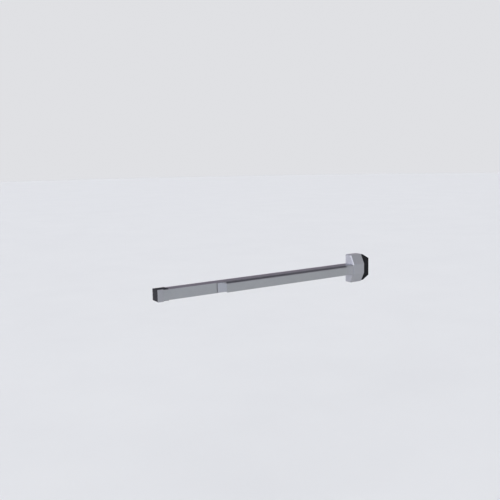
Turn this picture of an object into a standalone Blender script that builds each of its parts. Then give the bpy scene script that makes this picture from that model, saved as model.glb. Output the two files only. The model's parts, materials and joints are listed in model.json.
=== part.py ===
"""Touch-bar rim exit device (panic exit bar) for a single outward-opening door, with its strike.

Frame, in metres: +X to the right along the bar, +Z up, the door's face is the plane Y = 0 and the
device stands out from it towards -Y. The origin is the middle of the latch head's back face.
Pressing the bar moves it along +Y. Two bell cranks turn that push into a pull on a flat rod, and a
lever in the head passes the pull on, enlarged, to the latch bolt.
"""

from math import asin, atan2, cos, degrees, pi, radians, sin, sqrt

import bmesh
import bpy
from mathutils import Matrix, Vector

# ---------------------------------------------------------------- driving dimensions
GAP = 0.0003  # between pieces that touch
PLAY = 0.00035  # round a pin in its slot

BAR_LEFT = -1.1700  # left end of the device
PAD_LEFT = -0.8610  # where the push pad begins
PAD_RIGHT = -0.0395  # where the push pad ends, beside the head

RAIL_HEIGHT = 0.0500
RAIL_DEPTH = 0.0500
RAIL_WALL = 0.0022
RAIL_BACK = 0.0025

PAD_FRONT = 0.0660  # from the door to the pad's face, at rest
PAD_SKIRT = 0.0270  # the pad's own depth
PAD_WALL = 0.0020
PAD_CORNER = 0.0090  # radius along the pad's top
PAD_LOWER_CORNER = 0.0030  # radius along the bottom of its ramped end
PAD_LIP = 0.0260  # how far below the axis the pad's face reaches, past the rail's edge
PAD_LIP_THICKNESS = 0.0022
PAD_CAP_LENGTH = 0.0430  # of the pad's two ends; the left one is ramped
COVER_TO_PAD = 0.0035  # the open gap between the rail's cover and the pad
PAD_TRAVEL = 0.0130

COVER_THICKNESS = 0.0017

HEAD_WIDTH = 0.0760
HEAD_HEIGHT = 0.1480
HEAD_DEPTH = 0.0660  # at the middle band
HEAD_EDGE_DEPTH = 0.0400  # at the top and bottom edges
HEAD_BAND = 0.0500  # height of the middle band
HEAD_WALL = 0.0025
HEAD_SIDE_WALL = 0.0022
HEAD_CHAMFER = 0.0042  # along the head's left and right edges
HEAD_INNER_CHAMFER = HEAD_CHAMFER - 0.0008

CRANK_PAD_ARM = 0.0180
CRANK_ROD_ARM = 0.0160
CRANK_X = (-0.7900, -0.1200)  # pivots of the left and right bell cranks
CRANK_THROW = 2 * asin(PAD_TRAVEL / 2 / CRANK_PAD_ARM)

ROD_Y = -0.0105
ROD_WIDTH = 0.0090
ROD_THICKNESS = 0.0030
ROD_TRAVEL = 2 * CRANK_ROD_ARM * sin(CRANK_THROW / 2)

LEVER_PIVOT = Vector((-0.0200, 0.0, -0.0360))
LEVER_ROD_ARM = 0.0360
LEVER_BOLT_ARM = 0.0560
LEVER_THROW = 2 * asin(ROD_TRAVEL / 2 / LEVER_ROD_ARM)
BOLT_TRAVEL = 2 * LEVER_BOLT_ARM * sin(LEVER_THROW / 2)

BOLT_TIP = 0.0570
BOLT_HEIGHT = 0.0260
BOLT_Y = (-0.0340, -0.0170)
AUX_TIP = 0.0500
AUX_Y = (-0.0340, -0.0180)
AUX_Z = (-0.0295, -0.0185)
AUX_TRAVEL = 0.0120

STRIKE_LEFT = 0.0415
STRIKE_RIGHT = 0.0905
STRIKE_HEIGHT = 0.1400
STRIKE_EDGE_HEIGHT = 0.0920  # of the right edge, between the two sloping corners
STRIKE_DEPTH = 0.0390
SHIM_THICKNESS = 0.0015
ROLLER_X = 0.0520
ROLLER_Y = -0.0100
ROLLER_RADIUS = 0.0057

GUIDE_X = (-0.6000, -0.3000)  # rod guides, each with a rubber bumper
GUIDE_LENGTH = 0.0200

ARC_STEPS = 6  # straight pieces in a rounded corner
ROUND_STEPS = 16  # sides of a pin, screw or roller

AXES = {"X": 0, "Y": 1, "Z": 2}


# ---------------------------------------------------------------- scene and materials
def clear_scene():
    for thing in list(bpy.data.objects):
        bpy.data.objects.remove(thing, do_unlink=True)


def new_collection(name):
    collection = bpy.data.collections.new(name)
    bpy.context.scene.collection.children.link(collection)
    return collection


def material(name, colour, metallic, roughness):
    made = bpy.data.materials.new(name)
    made.use_nodes = True
    shader = made.node_tree.nodes["Principled BSDF"]
    shader.inputs["Base Color"].default_value = (*colour, 1.0)
    shader.inputs["Metallic"].default_value = metallic
    shader.inputs["Roughness"].default_value = roughness
    return made


clear_scene()
PARTS = new_collection("panic_exit_bar")
CUTTERS = new_collection("cutters")

SATIN_ALUMINIUM = material("satin_aluminium", (0.52, 0.54, 0.56), 1.0, 0.38)
SILVER_CASTING = material("silver_casting", (0.60, 0.61, 0.62), 0.9, 0.35)
BLACK_CASTING = material("black_casting", (0.012, 0.012, 0.014), 0.3, 0.45)
BLACK_MOULDING = material("black_moulding", (0.02, 0.02, 0.022), 0.0, 0.50)
ZINC_STEEL = material("zinc_steel", (0.56, 0.56, 0.54), 1.0, 0.40)
BOLT_STEEL = material("bolt_steel", (0.62, 0.61, 0.59), 1.0, 0.25)
SPRING_STEEL = material("spring_steel", (0.30, 0.30, 0.31), 1.0, 0.35)
RUBBER = material("rubber", (0.03, 0.03, 0.03), 0.0, 0.80)


# ---------------------------------------------------------------- shape helpers
def finish(thing, surface, collection=None):
    """Give a made object its material and its collection."""
    thing.data.materials.clear()
    if surface is not None:
        thing.data.materials.append(surface)
    (collection or PARTS).objects.link(thing)
    return thing


def cutter(thing):
    thing.hide_render = True
    thing.display_type = "WIRE"
    return finish(thing, None, CUTTERS)


def boolean(target, tool, operation):
    step = target.modifiers.new(f"{operation.lower()}_{tool.name}"[:60], "BOOLEAN")
    step.object = tool
    step.operation = operation
    step.solver = "EXACT"


def cut(target, *tools):
    for tool in tools:
        boolean(target, cutter(tool), "DIFFERENCE")
    return target


def join(target, *pieces):
    for piece in pieces:
        boolean(target, cutter(piece), "UNION")
    return target


def arc(centre, radius, start, end, steps=ARC_STEPS):
    """Points on an arc from angle start to angle end, both included."""
    return [
        (
            centre[0] + radius * cos(start + (end - start) * i / steps),
            centre[1] + radius * sin(start + (end - start) * i / steps),
        )
        for i in range(steps + 1)
    ]


def rounded(corners):
    """An outline from (x, y, radius) corners, each with its radius as an arc."""
    outline = []
    for i, (x, y, radius) in enumerate(corners):
        if radius == 0:
            outline.append((x, y))
            continue
        here = Vector((x, y))
        before = (Vector(corners[i - 1][:2]) - here).normalized()
        after = (Vector(corners[(i + 1) % len(corners)][:2]) - here).normalized()
        half = before.angle(after) / 2
        centre = here + (before + after).normalized() * (radius / sin(half))
        first = here + before * (radius / (sin(half) / cos(half))) - centre
        last = here + after * (radius / (sin(half) / cos(half))) - centre
        start = atan2(first.y, first.x)
        turn = (atan2(last.y, last.x) - start + pi) % (2 * pi) - pi
        outline += arc(centre, radius, start, start + turn)
    return outline


def hull_outline(circles):
    """The outline of a plate stretched round (x, y, radius) circles."""
    points = []
    for x, y, radius in circles:
        points += arc((x, y), radius, 0, 2 * pi, ROUND_STEPS)[:-1]
    points = sorted((round(x, 7), round(y, 7)) for x, y in points)
    sides = []
    for order in (points, points[::-1]):
        side = []
        for point in order:
            while len(side) > 1 and turn_of(side[-2], side[-1], point) <= 1e-12:
                side.pop()
            side.append(point)
        sides += side[:-1]
    return sides


def turn_of(a, b, c):
    return (b[0] - a[0]) * (c[1] - a[1]) - (b[1] - a[1]) * (c[0] - a[0])


def inset(outline, distance):
    """A convex anticlockwise outline moved inwards by distance."""
    moved = []
    for i, point in enumerate(outline):
        before = Vector(point) - Vector(outline[i - 1])
        after = Vector(outline[(i + 1) % len(outline)]) - Vector(point)
        normal_before = Vector((-before.y, before.x)).normalized()
        normal_after = Vector((-after.y, after.x)).normalized()
        lean = 1 + normal_before.dot(normal_after)
        moved.append(tuple(Vector(point) + (normal_before + normal_after) * (distance / lean)))
    return moved


def prism(name, outline, axis, start, end):
    """A flat outline extruded along an axis.

    The outline is in (Y, Z) for axis X, in (X, Z) for axis Y and in (X, Y) for axis Z.
    """
    curve = bpy.data.curves.new(name, "CURVE")
    curve.dimensions = "2D"
    curve.fill_mode = "BOTH"
    curve.extrude = abs(end - start) / 2
    spline = curve.splines.new("POLY")
    spline.points.add(len(outline) - 1)
    for point, (x, y) in zip(spline.points, outline):
        point.co = (x, y, 0, 1)
    spline.use_cyclic_u = True
    middle = (start + end) / 2
    turn = {
        "X": Matrix(((0, 0, 1, middle), (1, 0, 0, 0), (0, 1, 0, 0), (0, 0, 0, 1))),
        "Y": Matrix(((1, 0, 0, 0), (0, 0, -1, middle), (0, 1, 0, 0), (0, 0, 0, 1))),
        "Z": Matrix.Translation((0, 0, middle)),
    }[axis]
    return mesh_of_curve(name, curve, turn)


def mesh_of_curve(name, curve, turn):
    """The curve's solid as a mesh object whose points are moved by turn."""
    drawn = bpy.data.objects.new(name + "_curve", curve)
    CUTTERS.objects.link(drawn)
    evaluated = drawn.evaluated_get(bpy.context.evaluated_depsgraph_get())
    mesh = bpy.data.meshes.new_from_object(evaluated)
    bpy.data.objects.remove(drawn)
    work = bmesh.new()
    work.from_mesh(mesh)
    bmesh.ops.remove_doubles(work, verts=work.verts, dist=1e-6)
    bmesh.ops.transform(work, matrix=turn, verts=work.verts)
    bmesh.ops.recalc_face_normals(work, faces=work.faces)
    work.to_mesh(mesh)
    work.free()
    mesh.name = name
    return bpy.data.objects.new(name, mesh)


def box(name, low, high):
    low, high = Vector(low), Vector(high)
    mesh = bpy.data.meshes.new(name)
    work = bmesh.new()
    bmesh.ops.create_cube(work, size=1.0)
    bmesh.ops.scale(work, vec=high - low, verts=work.verts)
    bmesh.ops.translate(work, vec=(low + high) / 2, verts=work.verts)
    work.to_mesh(mesh)
    work.free()
    return bpy.data.objects.new(name, mesh)


def cylinder(name, axis, centre, radius, start, end, steps=ROUND_STEPS):
    """A round bar along an axis, from start to end; centre gives its other two coordinates."""
    mesh = bpy.data.meshes.new(name)
    work = bmesh.new()
    bmesh.ops.create_cone(
        work, cap_ends=True, segments=steps, radius1=radius, radius2=radius, depth=end - start
    )
    turn = {"X": Matrix.Rotation(pi / 2, 4, "Y"), "Y": Matrix.Rotation(-pi / 2, 4, "X")}
    if axis in turn:
        bmesh.ops.transform(work, matrix=turn[axis], verts=work.verts)
    place = Vector(centre)
    place[AXES[axis]] = (start + end) / 2
    bmesh.ops.translate(work, vec=place, verts=work.verts)
    work.to_mesh(mesh)
    work.free()
    mesh.shade_smooth()
    mesh.set_sharp_from_angle(angle=radians(40))
    return bpy.data.objects.new(name, mesh)


def turned(name, profile, steps=ROUND_STEPS):
    """A turned piece about its own Z, from (radius, height) points, top to bottom."""
    mesh = bpy.data.meshes.new(name)
    edges = [(i, i + 1) for i in range(len(profile) - 1)]
    mesh.from_pydata([(radius, 0, height) for radius, height in profile], edges, [])
    thing = bpy.data.objects.new(name, mesh)
    spin = thing.modifiers.new("turn", "SCREW")
    spin.steps = steps
    spin.render_steps = steps
    spin.use_merge_vertices = True
    spin.merge_threshold = 1e-5
    return thing


def coil(name, radius, wire, length, turns, surface, start=(0, 0, 0), turn=None):
    """A closed-form helix of wire along local Z, starting at the origin."""
    per_turn = 8
    count = int(turns * per_turn)
    curve = bpy.data.curves.new(name, "CURVE")
    curve.dimensions = "3D"
    curve.bevel_depth = wire
    curve.bevel_resolution = 1
    curve.use_fill_caps = True
    spline = curve.splines.new("POLY")
    spline.points.add(count)
    for i, point in enumerate(spline.points):
        angle = 2 * pi * i / per_turn
        rise = wire + (length - 2 * wire) * i / count
        point.co = (radius * cos(angle), radius * sin(angle), rise, 1)
    place = Matrix.Translation(start) @ (turn or Matrix.Identity(4))
    return finish(mesh_of_curve(name, curve, place), surface)


def bevel(thing, width, segments=2, angle=30):
    step = thing.modifiers.new("edge", "BEVEL")
    step.width = width
    step.segments = segments
    step.limit_method = "ANGLE"
    step.angle_limit = radians(angle)
    return thing


def countersunk(head, shank, length, grow=0.0, above=0.0):
    """The profile of a countersunk screw whose flat top is at height 0."""
    cone = head - shank
    top = [(0, above), (head + grow, above)]
    if above:
        top.append((head + grow, 0))
    return top + [(shank + grow, -cone), (shank + grow, -length - above), (0, -length - above)]


def screw(name, place, facing, head, shank, length, plates, surface=None):
    """A countersunk screw whose head faces out along facing; it cuts its own hole in each plate."""
    turn = {
        "-Y": (pi / 2, 0, 0),
        "-X": (0, -pi / 2, 0),
        "+Z": (0, 0, 0),
        "-Z": (pi, 0, 0),
    }[facing]
    made = turned(name, countersunk(head, shank, length))
    socket = cylinder(f"{name}_socket", "Z", (0, 0, 0), shank * 0.62, -head * 0.35, 0.001, 6)
    made.location = place
    made.rotation_euler = turn
    socket.location = place
    socket.rotation_euler = turn
    cut(made, socket)
    for number, plate in enumerate(plates):
        hole = turned(f"{name}_hole_{number}", countersunk(head, shank, length, GAP, 0.001))
        hole.location = place
        hole.rotation_euler = turn
        cut(plate, hole)
    return finish(made, surface or ZINC_STEEL)


def body_empty(name, place, *pieces):
    """An empty on a moving body's axis that carries its pieces."""
    empty = bpy.data.objects.new(name, None)
    empty.empty_display_size = 0.02
    empty.location = place
    PARTS.objects.link(empty)
    for piece in pieces:
        piece.parent = empty
        piece.matrix_parent_inverse = Matrix.Translation(place).inverted()
    return empty


def channel_outline(back, front, half, wall, base):
    """A U in (Y, Z), open towards -Y, with side walls at +-half and its base at back."""
    return [
        (back, -half),
        (back, half),
        (front, half),
        (front, half - wall),
        (back - base, half - wall),
        (back - base, -half + wall),
        (front, -half + wall),
        (front, -half),
    ]


# ---------------------------------------------------------------- rail, cover and left end
END_CAP_REACH = 0.0580  # how far the cap's top and bottom run along the rail
END_CAP_HALF = 0.0270
END_CAP_WALL = 0.0017
END_CAP_SIDE = 0.0038  # thickness of its left side, which takes a countersunk screw
END_FACE_RIGHT = -1.1410
END_FACE_HALF = 0.0285
END_FACE_THICKNESS = 0.0020
END_CAP_FRONT = -(RAIL_DEPTH + GAP + COVER_THICKNESS + GAP + END_CAP_WALL)
RAIL_LEFT = BAR_LEFT + 0.0060
RAIL_RIGHT = -HEAD_WIDTH / 2 - GAP


def rail_channel():
    outline = channel_outline(0, -RAIL_DEPTH, RAIL_HEIGHT / 2, RAIL_WALL, RAIL_BACK)
    return finish(prism("rail_channel", outline, "X", RAIL_LEFT, RAIL_RIGHT), SATIN_ALUMINIUM)


def rail_cover():
    """The fixed filler plate left of the pad: a shallow U whose legs stand inside the rail."""
    leg = RAIL_HEIGHT / 2 - RAIL_WALL - GAP
    leg_wall = 0.0015
    leg_end = -0.0380
    back = -(RAIL_DEPTH + GAP)
    front = back - COVER_THICKNESS
    half = RAIL_HEIGHT / 2
    edge = 0.0008
    outline = rounded(
        [
            (front, -half, edge),
            (back, -half, 0),
            (back, -leg, 0),
            (leg_end, -leg, 0),
            (leg_end, -leg + leg_wall, 0),
            (back, -leg + leg_wall, 0),
            (back, leg - leg_wall, 0),
            (leg_end, leg - leg_wall, 0),
            (leg_end, leg, 0),
            (back, leg, 0),
            (back, half, 0),
            (front, half, edge),
        ]
    )
    left = RAIL_LEFT + 0.0010
    right = PAD_LEFT - COVER_TO_PAD
    return finish(prism("rail_cover", outline, "X", left, right), SATIN_ALUMINIUM)


def end_cap():
    """The black moulded cap over the rail's left end; its top and bottom run on along the rail."""
    beyond = 0.0100
    right = BAR_LEFT + END_CAP_REACH
    made = box("end_cap", (BAR_LEFT, END_CAP_FRONT, -END_CAP_HALF), (right, -GAP, END_CAP_HALF))
    bevel(made, 0.0008)
    inside_half = END_CAP_HALF - END_CAP_WALL
    inside = box(
        "end_cap_inside",
        (BAR_LEFT + END_CAP_SIDE, END_CAP_FRONT + END_CAP_WALL, -inside_half),
        (right + beyond, beyond, inside_half),
    )
    front = box(
        "end_cap_open_front",
        (END_FACE_RIGHT, END_CAP_FRONT - beyond, -END_CAP_HALF - beyond),
        (right + beyond, -RAIL_DEPTH - GAP, END_CAP_HALF + beyond),
    )
    cut(made, inside)
    cut(made, front)
    return finish(made, BLACK_MOULDING)


def end_cap_face(cap):
    """The silver plate on the front of the cap, with two pegs into it."""
    back = END_CAP_FRONT - GAP
    made = box(
        "end_cap_face",
        (BAR_LEFT, back - END_FACE_THICKNESS, -END_FACE_HALF),
        (END_FACE_RIGHT, back, END_FACE_HALF),
    )
    bevel(made, 0.0008)
    radius = 0.0020
    middle = (BAR_LEFT + END_FACE_RIGHT) / 2
    for number, height in enumerate((-0.0160, 0.0160)):
        centre = (middle, 0, height)
        peg = cylinder(f"end_face_peg_{number}", "Y", centre, radius, back - END_FACE_THICKNESS / 2,
                       back + END_CAP_WALL, 8)
        hole = cylinder(f"end_face_hole_{number}", "Y", centre, radius + GAP,
                        END_CAP_FRONT - 0.0010, END_CAP_FRONT + END_CAP_WALL + 0.0010, 8)
        join(made, peg)
        cut(cap, hole)
    return finish(made, SILVER_CASTING)


BRACKET_BACK = -(RAIL_BACK + GAP)


def end_bracket():
    """The angle inside the rail's left end that ties the rail to the door and takes the cap's screw."""
    left = RAIL_LEFT + 0.0015
    base = 0.0025
    half = 0.0195
    made = box(
        "end_bracket",
        (left, BRACKET_BACK - base, -half),
        (left + 0.0430, BRACKET_BACK, half),
    )
    upright = box(
        "end_bracket_upright",
        (left, -0.0340, -half),
        (left + base, BRACKET_BACK - base / 2, half),
    )
    join(made, upright)
    return finish(made, ZINC_STEEL)


def left_end():
    rail = rail_channel()
    rail_cover()
    cap = end_cap()
    end_cap_face(cap)
    bracket = end_bracket()
    bracket_top = BRACKET_BACK - 0.0025
    for number, height in enumerate((-0.0110, 0.0110), 1):
        screw(
            f"end_bracket_screw_{number}",
            (RAIL_LEFT + 0.0280, bracket_top, height),
            "-Y",
            0.0044,
            0.0024,
            -bracket_top - GAP,
            (bracket, rail),
        )
    screw(
        "end_cap_screw",
        (BAR_LEFT, -0.0200, 0),
        "-X",
        0.0040,
        0.0021,
        0.0126,
        (cap, bracket),
        BLACK_CASTING,
    )
    return rail


# ---------------------------------------------------------------- bell cranks, rod and guides
CRANK_Y = ROD_Y - CRANK_ROD_ARM * (1 + cos(CRANK_THROW / 2)) / 2
CRANK_HUB = 0.0055
CRANK_PIN = 0.0025
CRANK_ROD_PIN = 0.0020
CRANK_PLATE = (0.0022, 0.0062)  # heights of the crank's plate
TONGUE = (0.0070, 0.0090)  # heights of the pad bracket's tongue
CRANK_CHEEK = 0.0140  # half height of the crank's bracket
CRANK_CHEEK_WALL = 0.0020


def crank_bracket(side, x, rail):
    """The U that holds a crank's pin between its cheeks, screwed to the rail's back."""
    base = 0.0022
    outline = channel_outline(
        BRACKET_BACK, CRANK_Y - 0.0060, CRANK_CHEEK, CRANK_CHEEK_WALL, base
    )
    made = prism(f"crank_bracket_{side}", outline, "X", x - 0.0130, x + 0.0080)
    bore = cylinder(f"crank_bracket_bore_{side}", "Z", (x, CRANK_Y, 0), CRANK_PIN + GAP,
                    -0.0200, 0.0200)
    cut(made, bore)
    top = BRACKET_BACK - base
    for number, height in enumerate((-0.0080, 0.0080), 1):
        screw(f"crank_screw_{side}_{number}", (x - 0.0085, top, height), "-Y", 0.0032, 0.0017,
              -top - GAP, (made, rail))
    return finish(made, ZINC_STEEL)


def crank_pin(side, x):
    half = CRANK_CHEEK + 0.0012
    head = 0.0040
    head_top = half + 0.0012
    profile = [(0, head_top), (head, head_top), (head, CRANK_CHEEK + GAP),
               (CRANK_PIN, CRANK_CHEEK + GAP), (CRANK_PIN, -half), (0, -half)]
    made = turned(f"crank_pin_{side}", profile)
    made.location = (x, CRANK_Y, 0)
    return finish(made, BOLT_STEEL)


def crank(side, x):
    """A bell crank about its own Z: one arm along +X to the pad, one along +Y to the rod."""
    tip = 0.0042
    bottom, top = CRANK_PLATE
    outline = hull_outline(
        [(0, 0, CRANK_HUB + 0.0005), (CRANK_PAD_ARM, 0, tip), (0, CRANK_ROD_ARM, tip)]
    )
    made = prism(f"crank_{side}", outline, "Z", bottom, top)
    hub_half = CRANK_CHEEK - CRANK_CHEEK_WALL - GAP
    hub = cylinder(f"crank_hub_{side}", "Z", (0, 0, 0), CRANK_HUB, -hub_half, hub_half)
    pad_pin = cylinder(f"crank_pad_pin_{side}", "Z", (CRANK_PAD_ARM, 0, 0), CRANK_PIN,
                       bottom + 0.0010, TONGUE[1] + 0.0015)
    pull_pin = cylinder(f"crank_rod_pin_{side}", "Z", (0, CRANK_ROD_ARM, 0), CRANK_ROD_PIN,
                        -ROD_THICKNESS / 2 - 0.0015, top - 0.0010)
    bore = cylinder(f"crank_bore_{side}", "Z", (0, 0, 0), CRANK_PIN + GAP, -0.0200, 0.0200)
    join(made, hub, pad_pin, pull_pin)
    cut(made, bore)
    for piece in (made, hub, pad_pin, pull_pin, bore):
        piece.location = (x, CRANK_Y, 0)
        piece.rotation_euler = (0, 0, -CRANK_THROW / 2)
    return finish(made, ZINC_STEEL)


def pull_rod():
    """The flat rod, with a cross slot at each crank for the crank's pin."""
    left = CRANK_X[0] - 0.0120
    right = ROD_END_LEFT - GAP
    made = box(
        "pull_rod",
        (left, ROD_Y - ROD_WIDTH / 2, -ROD_THICKNESS / 2),
        (right, ROD_Y + ROD_WIDTH / 2, ROD_THICKNESS / 2),
    )
    slot_radius = CRANK_ROD_PIN + PLAY
    near = CRANK_Y + CRANK_ROD_ARM * cos(CRANK_THROW / 2)
    far = CRANK_Y + CRANK_ROD_ARM
    for number, x in enumerate(CRANK_X):
        pin_x = x + CRANK_ROD_ARM * sin(CRANK_THROW / 2)
        outline = hull_outline([(pin_x, near, slot_radius), (pin_x, far, slot_radius)])
        cut(made, prism(f"rod_slot_{number}", outline, "Z", -0.0100, 0.0100))
    return finish(made, ZINC_STEEL)


ROD_END_LEFT = -0.0220
ROD_END_RIGHT = -0.0060
LEVER_PIN = 0.0025
LEVER_BOLT_PIN = 0.0020


def rod_end_block():
    """The block at the rod's head end, with an upright slot for the lever's pin."""
    made = box(
        "rod_end_block",
        (ROD_END_LEFT, ROD_Y - ROD_WIDTH / 2, -0.0070),
        (ROD_END_RIGHT, ROD_Y + ROD_WIDTH / 2, 0.0070),
    )
    bevel(made, 0.0006, 1)
    pin_x = LEVER_PIVOT.x + LEVER_ROD_ARM * sin(LEVER_THROW / 2)
    low = LEVER_PIVOT.z + LEVER_ROD_ARM * cos(LEVER_THROW / 2)
    high = LEVER_PIVOT.z + LEVER_ROD_ARM
    outline = hull_outline([(pin_x, low, LEVER_PIN + PLAY), (pin_x, high, LEVER_PIN + PLAY)])
    cut(made, prism("rod_end_slot", outline, "Y", -0.0300, 0.0))
    return finish(made, ZINC_STEEL)


COLLAR_OFFSET = 0.0300  # from a guide's right face to its collar
COLLAR_LENGTH = 0.0080


def rod_collar(side, guide_x):
    """The collar on the rod that its return spring pushes against."""
    left = guide_x + GUIDE_LENGTH / 2 + COLLAR_OFFSET
    made = box(
        f"rod_collar_{side}",
        (left, ROD_Y - 0.0065, -0.0062),
        (left + COLLAR_LENGTH, ROD_Y + 0.0065, 0.0062),
    )
    bevel(made, 0.0008, 1)
    bore = box(
        f"rod_collar_bore_{side}",
        (left - 0.0100, ROD_Y - ROD_WIDTH / 2 - GAP, -ROD_THICKNESS / 2 - GAP),
        (left + COLLAR_LENGTH + 0.0100, ROD_Y + ROD_WIDTH / 2 + GAP, ROD_THICKNESS / 2 + GAP),
    )
    cut(made, bore)
    return finish(made, ZINC_STEEL)


def return_spring(side, guide_x):
    start = guide_x + GUIDE_LENGTH / 2 + GAP
    length = COLLAR_OFFSET - 2 * GAP
    along_x = Matrix.Rotation(pi / 2, 4, "Y")
    return coil(f"return_spring_{side}", 0.0060, 0.0007, length, 7, SPRING_STEEL,
                (start, ROD_Y, 0), along_x)


GUIDE_FRONT = -0.0440


def rod_guide(side, x):
    """A moulded block on the rail's back: the rod runs through it and it carries a bumper."""
    half = 0.0120
    made = box(
        f"rod_guide_{side}",
        (x - GUIDE_LENGTH / 2, GUIDE_FRONT, -half),
        (x + GUIDE_LENGTH / 2, BRACKET_BACK, half),
    )
    bevel(made, 0.0010, 1)
    play = 0.0005
    passage = box(
        f"rod_guide_passage_{side}",
        (x - 0.0200, ROD_Y - ROD_WIDTH / 2 - play, -ROD_THICKNESS / 2 - play),
        (x + 0.0200, ROD_Y + ROD_WIDTH / 2 + play, ROD_THICKNESS / 2 + play),
    )
    cut(made, passage)
    return finish(made, BLACK_MOULDING)


def bumper(side, x):
    """The rubber stop that the pad's back meets at the end of its travel."""
    height = PAD_FRONT - PAD_WALL - PAD_TRAVEL + GUIDE_FRONT - 2 * GAP
    profile = [(0, height), (0.0055, height), (0.0070, height - 0.0015), (0.0070, 0), (0, 0)]
    made = turned(f"bumper_{side}", profile)
    made.location = (x, GUIDE_FRONT - GAP, 0)
    made.rotation_euler = (pi / 2, 0, 0)
    return finish(made, RUBBER)


def rod_train(rail):
    rod_pieces = [pull_rod(), rod_end_block()]
    for side, x in zip(("left", "right"), CRANK_X):
        crank_bracket(side, x, rail)
        crank_pin(side, x)
        crank(side, x)
    for side, x in zip(("left", "right"), GUIDE_X):
        rod_guide(side, x)
        bumper(side, x)
        rod_pieces.append(rod_collar(side, x))
        return_spring(side, x)
    body_empty("pull_rod_axis", (0, ROD_Y, 0), *rod_pieces)


# ---------------------------------------------------------------- push pad
PAD_HALF = RAIL_HEIGHT / 2 - RAIL_WALL - 0.0005
PAD_BACK = -PAD_FRONT + PAD_SKIRT
PAD_CAP_FRONT = -0.0530  # the cap's face at its outer end


def push_pad():
    hook = 0.0050
    front, inner = -PAD_FRONT, PAD_CORNER - PAD_WALL
    inside = PAD_HALF - PAD_WALL
    outline = rounded(
        [
            (PAD_BACK, PAD_HALF, 0),
            *pad_face(PAD_HALF),
            (PAD_BACK, -PAD_HALF, 0),
            (PAD_BACK, -PAD_HALF + hook, 0),
            (PAD_BACK - PAD_WALL, -PAD_HALF + hook, 0),
            (PAD_BACK - PAD_WALL, -inside, 0),
            (front + PAD_WALL, -inside, 0),
            (front + PAD_WALL, inside, inner),
            (PAD_BACK - PAD_WALL, inside, 0),
            (PAD_BACK - PAD_WALL, PAD_HALF - hook, 0),
            (PAD_BACK, PAD_HALF - hook, 0),
        ]
    )
    left = PAD_LEFT + PAD_CAP_LENGTH + GAP
    right = PAD_RIGHT - PAD_CAP_LENGTH - GAP
    return finish(prism("push_pad", outline, "X", left, right), SATIN_ALUMINIUM)


def pad_face(half):
    """The front of the pad's outline: a round top edge, a flat face and a lip below the rail's edge."""
    front, edge = -PAD_FRONT, 0.0007
    return [
        (front, half, PAD_CORNER),
        (front, -PAD_LIP, edge),
        (front + PAD_LIP_THICKNESS, -PAD_LIP, edge),
        (front + PAD_LIP_THICKNESS, -half, 0),
    ]


def ramp_cutter(name, shrink):
    """All that lies in front of the left cap's sloping face, which is moved in by shrink."""
    land = 0.0010  # the level end of the cap, beside the pad
    beyond = 0.0100
    start, end = PAD_LEFT, PAD_LEFT + PAD_CAP_LENGTH - land
    slope = (-PAD_FRONT - PAD_CAP_FRONT) / (end - start)
    moved = shrink * sqrt(1 + slope**2)
    face = [(x, PAD_CAP_FRONT + slope * (x - start) + moved) for x in (start - beyond, end + beyond)]
    outline = face + [(x, -PAD_FRONT - 2 * beyond) for x, _ in reversed(face)]
    return prism(name, outline, "Z", -RAIL_HEIGHT, RAIL_HEIGHT)


def pad_cap(side):
    """A hollow end of the pad. The left one's face slopes back to the level of the rail's cover."""
    wall, end_wall = 0.0022, 0.0020
    left = PAD_LEFT if side == "left" else PAD_RIGHT - PAD_CAP_LENGTH
    right = left + PAD_CAP_LENGTH
    half, front = PAD_HALF, -PAD_FRONT
    face = pad_face(half)
    lower_corner = PAD_WALL / 2
    if side == "left":
        face = [(front, half, PAD_CORNER), (front, -half, PAD_LOWER_CORNER)]
    made = prism(f"pad_cap_{side}", rounded([(PAD_BACK, half, 0), *face, (PAD_BACK, -half, 0)]),
                 "X", left, right)
    inside = [
        (PAD_BACK + 0.0100, half - wall, 0),
        (front + wall, half - wall, PAD_CORNER - wall),
        (front + wall, -half + wall, lower_corner),
        (PAD_BACK + 0.0100, -half + wall, 0),
    ]
    hollow = prism(f"pad_cap_hollow_{side}", rounded(inside), "X", left + end_wall, right - end_wall)
    if side == "left":
        cut(hollow, ramp_cutter("cap_hollow_ramp", wall))
        cut(made, ramp_cutter("cap_ramp", 0.0))
    cut(made, hollow)
    return finish(made, SILVER_CASTING)


def pad_bracket(side, crank_x):
    """A sheet bracket in the pad whose tongue holds the crank's pin in a slot along X."""
    plate = -PAD_FRONT + PAD_WALL + GAP
    plate_back = plate + 0.0020
    half = 0.0150
    pin_y = CRANK_Y - CRANK_PAD_ARM * sin(CRANK_THROW / 2)
    tongue_end = pin_y + 0.0050
    outline = [
        (plate, -half),
        (plate_back, -half),
        (plate_back, TONGUE[0]),
        (tongue_end, TONGUE[0]),
        (tongue_end, TONGUE[1]),
        (plate_back, TONGUE[1]),
        (plate_back, half),
        (plate, half),
    ]
    made = prism(f"pad_bracket_{side}", outline, "X", crank_x + 0.0100, crank_x + 0.0260)
    slot_radius = CRANK_PIN + PLAY
    near = crank_x + CRANK_PAD_ARM * cos(CRANK_THROW / 2)
    far = crank_x + CRANK_PAD_ARM
    slot = hull_outline([(near, pin_y, slot_radius), (far, pin_y, slot_radius)])
    cut(made, prism(f"pad_bracket_slot_{side}", slot, "Z", 0.0, 0.0200))
    return finish(made, ZINC_STEEL)


def push_bar():
    pieces = [
        push_pad(),
        pad_cap("left"),
        pad_cap("right"),
    ]
    for side, x in zip(("left", "right"), CRANK_X):
        pieces.append(pad_bracket(side, x))
    body_empty("push_bar_axis", ((PAD_LEFT + PAD_RIGHT) / 2, -PAD_FRONT, 0), *pieces)


# ---------------------------------------------------------------- latch head
PLATE = 0.0030  # thickness of the head's baseplate
CASE_BACK = -(PLATE + GAP)
POST_RADIUS = 0.0025  # of the lever's post, where the lever turns on it
LEVER_Y = (-0.0400, -0.0370)


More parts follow.
